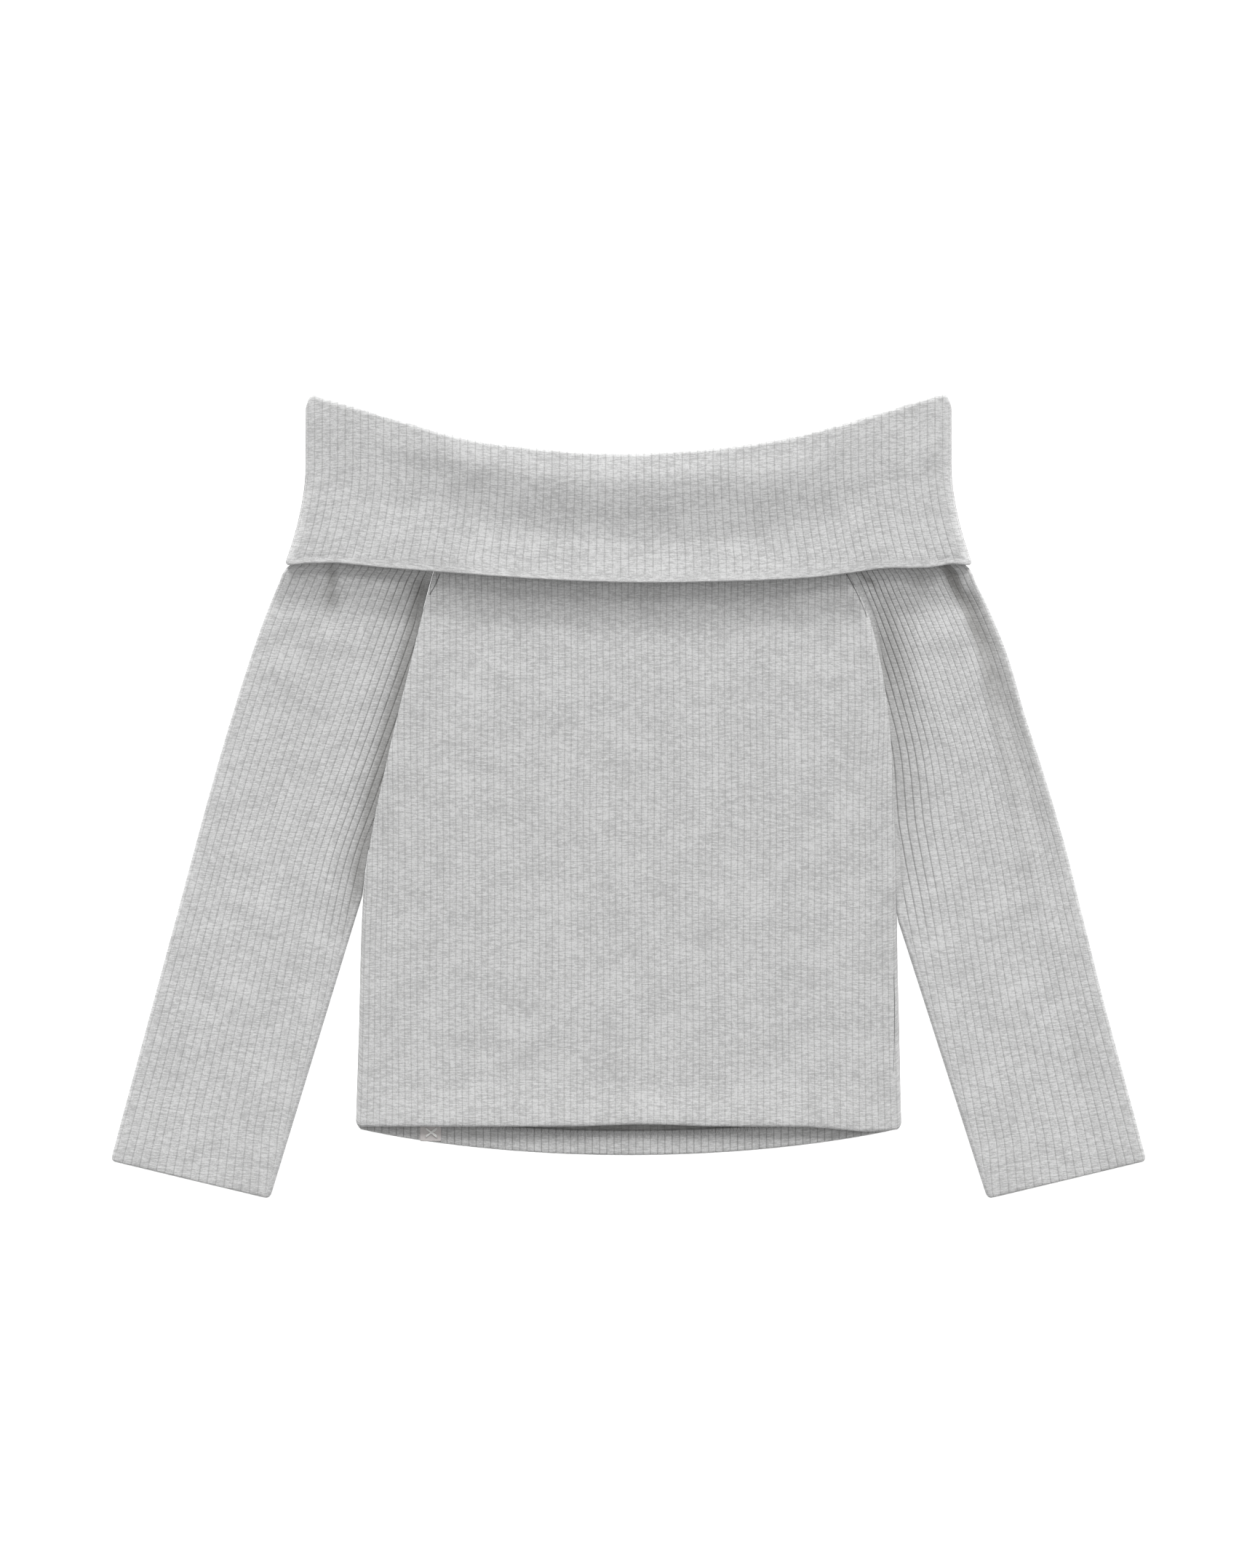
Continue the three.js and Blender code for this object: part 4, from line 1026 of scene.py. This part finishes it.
def build_collar(cloth, half_name):
    """Half of the collar: the front half lies uppermost, the back half on the surface. Across, the rows
    follow a flat loop whose side folds are quarter circles."""
    front = half_name == "front"
    count, pitch = RIBS["collar"], RIB_PITCH["collar"]
    ribs = rib_columns(1, count)
    turn = np.linspace(0, np.pi / 2, ROLL_STEPS + 1)[1:]
    past = LOOP_ROLL * turn / pitch
    t = np.concatenate([-(1 + 0 * turn), ribs["t"], 1 + 0 * turn])[None, :]
    side = np.concatenate([-(1 + 0 * turn), np.sign(ribs["t"]), 1 + 0 * turn])[None, :]
    angle = np.concatenate([turn[::-1], 0 * ribs["t"], turn])[None, :]
    number = np.concatenate([-past[::-1], ribs["number"], count + past])
    height = np.concatenate([0 * turn, ribs["height"], 0 * turn])[None, :]
    r = {k: v[:, None] for k, v in collar_rows(COLLAR_WALL).items()}

    def place(add, deep):
        width = FOLD["half"]
        for _ in range(3):
            x = t * (width - LOOP_ROLL) + side * (LOOP_ROLL - deep) * np.sin(angle)
            corner = FLAP_CORNER["drop"] * smooth(FLAP_CORNER["from"], FLAP_CORNER["to"], np.abs(x))
            low = lower_edge(x) - corner + (0 if front else BACK_TUCK * (0.4 + 0.6 * np.cos(angle)))
            y = r["lower"] * low + r["fold"] * fold_line(x) + r["neck"] * neck_seam(x) + add
            width = collar_half(y)
        raised = flap_height(x, y, y - low, r["deep"]) if front else 0
        z = HALF_SEAM + (LOOP_Z - deep + raised - HALF_SEAM) * np.cos(angle)
        return np.stack(np.broadcast_arrays(x, y, LOOP_Z + (z if front else -z)), axis=-1)

    lie = 0 if front else 0.5 * smooth(3.4, 0.6, r["deep"])
    outer, inner = place(r["add"], r["deep"] - lie), place(r["inner_add"], r["inner_deep"])
    from_edge = outer[:, :, 1] - lower_edge(outer[:, :, 0])
    shown = smooth(3, 0.6, r["deep"]) * smooth(0.5, 9, from_edge)
    ribbed = cloth.rib_height / MM * height if front else UNDERSIDE_GROOVE * (height - 1) * np.cos(angle)
    return cloth_shell(f"collar_{half_name}_cloth", outer, inner, ribbed * shown, number, pitch, shown,
                       flipped=not front)


def threads(name, strands, sides):
    """Closed thin tubes along strands of points, as one object. Each ring stands square to its strand, and
    a fan of triangles closes each end."""
    paths = np.stack(strands)
    tangent = np.gradient(paths, axis=1)
    tangent /= np.linalg.norm(tangent, axis=2, keepdims=True)
    across = np.cross(tangent, [0, 0, 1.0])
    across /= np.maximum(np.linalg.norm(across, axis=2, keepdims=True), 1e-9)
    up = np.cross(across, tangent)
    turn = np.linspace(0, 2 * np.pi, sides, endpoint=False)
    rings = across[:, :, None] * np.cos(turn)[:, None] + up[:, :, None] * np.sin(turn)[:, None]
    points = (paths[:, :, None] + THREAD_RADIUS * rings).reshape(-1, 3)
    count, steps = paths.shape[:2]
    index = np.arange(count * steps * sides).reshape(count, steps, sides)
    nxt = np.roll(index, -1, axis=2)
    quads = np.stack([index[:, :-1], index[:, 1:], nxt[:, 1:], nxt[:, :-1]], axis=-1).reshape(-1, 4)

    def fan(ring, first, second):
        return [np.stack([ring[:, 0], ring[:, k + first], ring[:, k + second]], axis=1)
                for k in range(1, sides - 1)]

    caps = np.concatenate(fan(index[:, 0], 0, 1) + fan(index[:, -1], 1, 0))
    return mesh_object(name, points, quads, caps, points[:, :2], {})


def build_label(cloth):
    """The small blank tape sewn flat inside the back's hem, its long edges slightly curled."""
    wall, thick = cloth.wall / MM, 0.5
    u, v = np.meshgrid(np.linspace(-1, 1, 33), np.linspace(-1, 1, 29))
    round_off = 1 - 0.03 * (u * v) ** 6
    x = LABEL["x"] + LABEL["width"] / 2 * u * round_off
    y = LABEL["y"] + LABEL["length"] / 2 * v * round_off
    z = 2 * wall + cloth.rib_height / MM + 0.06 + thick + 0.14 * u**4 + 0.05 * np.sin(5 * u + 2 * v)
    outer, inner = np.stack([x, y, z], axis=-1), np.stack([x, y, z - thick], axis=-1)
    return cloth_shell("label_tape", outer, inner, 0 * x, u[0] * 3, 2.6)


def build_hem_stitches(cloth):
    """The zigzag that holds down the raw edge of the back's turned-up hem, as one thread that runs over
    its ribs."""
    half, step = HEM_HALF - 8, 1.3
    x = np.arange(-half, half, step / 4)
    zigzag = 2 * np.abs((x / (2 * step)) % 1 - 0.5)
    y = back_hem(x) + cloth.hem / MM - 4.6 + 4.2 * zigzag
    z = 2 * cloth.wall / MM + 0.35 + 0.22 * np.sin(2 * np.pi * x / RIB_PITCH["back"])
    return threads("hem_stitches", [np.stack([x, y, z + 0.1], axis=-1)], 6)


def build_label_stitches(cloth):
    """Two crossed bars of pale thread in the middle of the label, each of three strands side by side."""
    t = np.linspace(-1, 1, 9)
    z = 2 * cloth.wall / MM + cloth.rib_height / MM + 0.75 + 0.15 * (1 - t**2)
    strands = []
    for turn in (1, -1):
        for beside in (-0.55, 0, 0.55):
            x = LABEL["x"] + 0.6 + 4.2 * t
            y = LABEL["y"] - 0.4 + turn * 3.1 * t + beside * (1 + 0.3 * np.sin(3 * t))
            strands.append(np.stack([x, y, z + 0.2 * (turn < 0)], axis=-1))
    return threads("label_stitches", strands, 8)


def build_seam_lines():
    """Short stretches where a seam of the front shows, as thin dark tubes that paint the shade in its dent:
    one beside the right side fold and one beside each end of the neck seam."""
    t = np.linspace(0, 1, 25)
    strands = []
    for line in SEAM_LINES:
        x, y = curve(line["at"], line["x"])(t), mix(line["y"][0], line["y"][1], t)
        arch = 0.2 * np.sin(np.pi * t) ** 0.5 - 0.12
        z = front_height(x, y) + creases(FRONT_CREASES, x, y) + line["lift"] + arch
        strands.append(np.stack([x, y, z], axis=-1))
    return threads("seam_lines", strands, 6)


class GARMENT_OT_front(bpy.types.Operator):
    """Builds the ribbed front with its turned-up hem"""

    bl_idname = "garment.front"
    bl_label = "Front"

    def execute(self, context):
        piece = build_front(settings())
        material = knit_material("body rib knit", RIB_PITCH["front"], settings())
        declare(piece, ["front_panel"], "body_knit", material, flat=(0.402, 0.434), held="laid",
                rests_on=["back_cloth", "left_sleeve_cloth", "right_sleeve_cloth"], area=0.166)
        return {"FINISHED"}


class GARMENT_OT_back(bpy.types.Operator):
    """Builds the back, flat underneath, with the ribbed inside of its turned-up hem"""

    bl_idname = "garment.back"
    bl_label = "Back"

    def execute(self, context):
        piece = build_back(settings())
        material = knit_material("back rib knit", RIB_PITCH["back"], settings())
        declare(piece, ["back_panel"], "body_knit", material, flat=(0.402, 0.454), held="laid",
                rests_on=["collar_back_cloth"], area=0.171)
        return {"FINISHED"}


class GARMENT_OT_sleeves(bpy.types.Operator):
    """Builds both sleeves, each in one piece with a turned-up cuff"""

    bl_idname = "garment.sleeves"
    bl_label = "Sleeves"

    def execute(self, context):
        material = knit_material("sleeve rib knit", RIB_PITCH["sleeve"], settings())
        for side in ("left", "right"):
            piece = build_sleeve(settings(), side)
            declare(piece, [f"{side}_sleeve"], "sleeve_knit", material, flat=(0.266, 0.5), held="laid",
                    rests_on=["collar_back_cloth"], area=0.122)
        return {"FINISHED"}


class GARMENT_OT_collar(bpy.types.Operator):
    """Builds the two halves of the fold-over collar"""

    bl_idname = "garment.collar"
    bl_label = "Collar"

    def execute(self, context):
        material = knit_material("collar rib knit", RIB_PITCH["collar"], settings())
        for half in ("front", "back"):
            piece = build_collar(settings(), half)
            rests = ["front_cloth"] if half == "front" else []
            declare(piece, [f"collar_{half}"], "collar_knit", material, flat=(0.51, 0.205), held="folded",
                    rests_on=rests, area=0.094)
        return {"FINISHED"}


class GARMENT_OT_trims(bpy.types.Operator):
    """Builds the blank label inside the back's hem, the stitching round it and the painted shade of the
    seams
    """

    bl_idname = "garment.trims"
    bl_label = "Label and stitches"

    def execute(self, context):
        tape = plain_material("label tape", (0.62, 0.59, 0.58), 0.8, 1800)
        thread = plain_material("grey thread", (0.56, 0.56, 0.56), 0.85, 3000)
        pale = plain_material("pale thread", (0.86, 0.86, 0.84), 0.8, 3000)
        # Painted shade for the seams' dents, drawn as dark thread.
        shadow = plain_material("painted seam shade", (0.2, 0.2, 0.2), 0.9, 3000)
        label = build_label(settings())
        declare(label, ["label"], "label_tape", tape, flat=(0.0155, 0.0138), held="laid",
                rests_on=["back_cloth"], area=0.000213)
        declare(build_label_stitches(settings()), [], "label_tape", pale)
        declare(build_hem_stitches(settings()), [], "body_knit", thread)
        declare(build_seam_lines(), [], "body_knit", shadow)
        return {"FINISHED"}


class GARMENT_OT_stage(bpy.types.Operator):
    """Sets up the camera, the pale floor and the soft light"""

    bl_idname = "garment.stage"
    bl_label = "Stage"

    def execute(self, context):
        studio = context.scene.garment_studio
        aim = (-0.0008, 0.0093)
        sensor = 24.0
        data = bpy.data.cameras.new("camera")
        data.sensor_fit = "VERTICAL"
        data.sensor_height = sensor
        data.lens = sensor * studio.camera_height / studio.frame_height
        data.clip_end = 50
        camera = bpy.data.objects.new("camera", data)
        camera.location = (*aim, studio.camera_height)
        context.scene.collection.objects.link(camera)
        context.scene.camera = camera

        floor_mesh = bpy.data.meshes.new("floor")
        reach, level = 6, -0.0004
        corners = [(x * reach, y * reach, level) for x, y in ((-1, -1), (1, -1), (1, 1), (-1, 1))]
        floor_mesh.from_pydata(corners, [], [(0, 1, 2, 3)])
        floor = bpy.data.objects.new("floor", floor_mesh)
        context.scene.collection.objects.link(floor)
        g = Graph("pale floor")
        colour = (*studio.floor_colour, 1.0)
        inputs = {"Base Color": colour, "Roughness": 0.9, "Emission Color": (1, 1, 1, 1),
                  "Emission Strength": studio.floor_glow}
        g.node("ShaderNodeOutputMaterial", None, {0: g.node("ShaderNodeBsdfPrincipled", None, inputs)})
        floor_mesh.materials.append(g.material)

        lamp = bpy.data.lights.new("window", "SUN")
        lamp.angle = studio.key_size
        lamp.energy = studio.key_strength
        window = bpy.data.objects.new("window", lamp)
        window.location = (0.1, 2.3, 1.2)
        window.rotation_euler = (studio.key_height - math.pi / 2, 0, studio.key_turn)
        context.scene.collection.objects.link(window)

        world = bpy.data.worlds.new("room")
        world.use_nodes = True
        world.node_tree.nodes["Background"].inputs[0].default_value = (1, 1, 1, 1)
        world.node_tree.nodes["Background"].inputs[1].default_value = studio.fill
        context.scene.world = world
        context.scene.view_settings.view_transform = "Standard"
        return {"FINISHED"}


class GARMENT_PT_panel(bpy.types.Panel):
    """Lists the garment's pieces and settings"""

    bl_idname = "GARMENT_PT_panel"
    bl_label = "Rib-knit top"
    bl_space_type = "VIEW_3D"
    bl_region_type = "UI"
    bl_category = "Garment"

    def draw(self, context):
        for group in (context.scene.garment_cloth, context.scene.garment_studio):
            column = self.layout.column()
            for name in group.bl_rna.properties.keys():
                if name not in ("rna_type", "name"):
                    column.prop(group, name)
        for operator in OPERATORS:
            self.layout.operator(operator.bl_idname)


OPERATORS = [
    GARMENT_OT_front,
    GARMENT_OT_back,
    GARMENT_OT_sleeves,
    GARMENT_OT_collar,
    GARMENT_OT_trims,
    GARMENT_OT_stage,
]
CLASSES = [ClothSettings, StudioSettings, *OPERATORS, GARMENT_PT_panel]


def register():
    for item in CLASSES:
        bpy.utils.register_class(item)
    bpy.types.Scene.garment_cloth = bpy.props.PointerProperty(type=ClothSettings)
    bpy.types.Scene.garment_studio = bpy.props.PointerProperty(type=StudioSettings)


def unregister():
    del bpy.types.Scene.garment_studio
    del bpy.types.Scene.garment_cloth
    for item in reversed(CLASSES):
        bpy.utils.unregister_class(item)


def main():
    register()
    bpy.ops.garment.back()
    bpy.ops.garment.sleeves()
    bpy.ops.garment.front()
    bpy.ops.garment.collar()
    bpy.ops.garment.trims()
    bpy.ops.garment.stage()


if __name__ == "__main__":
    main()
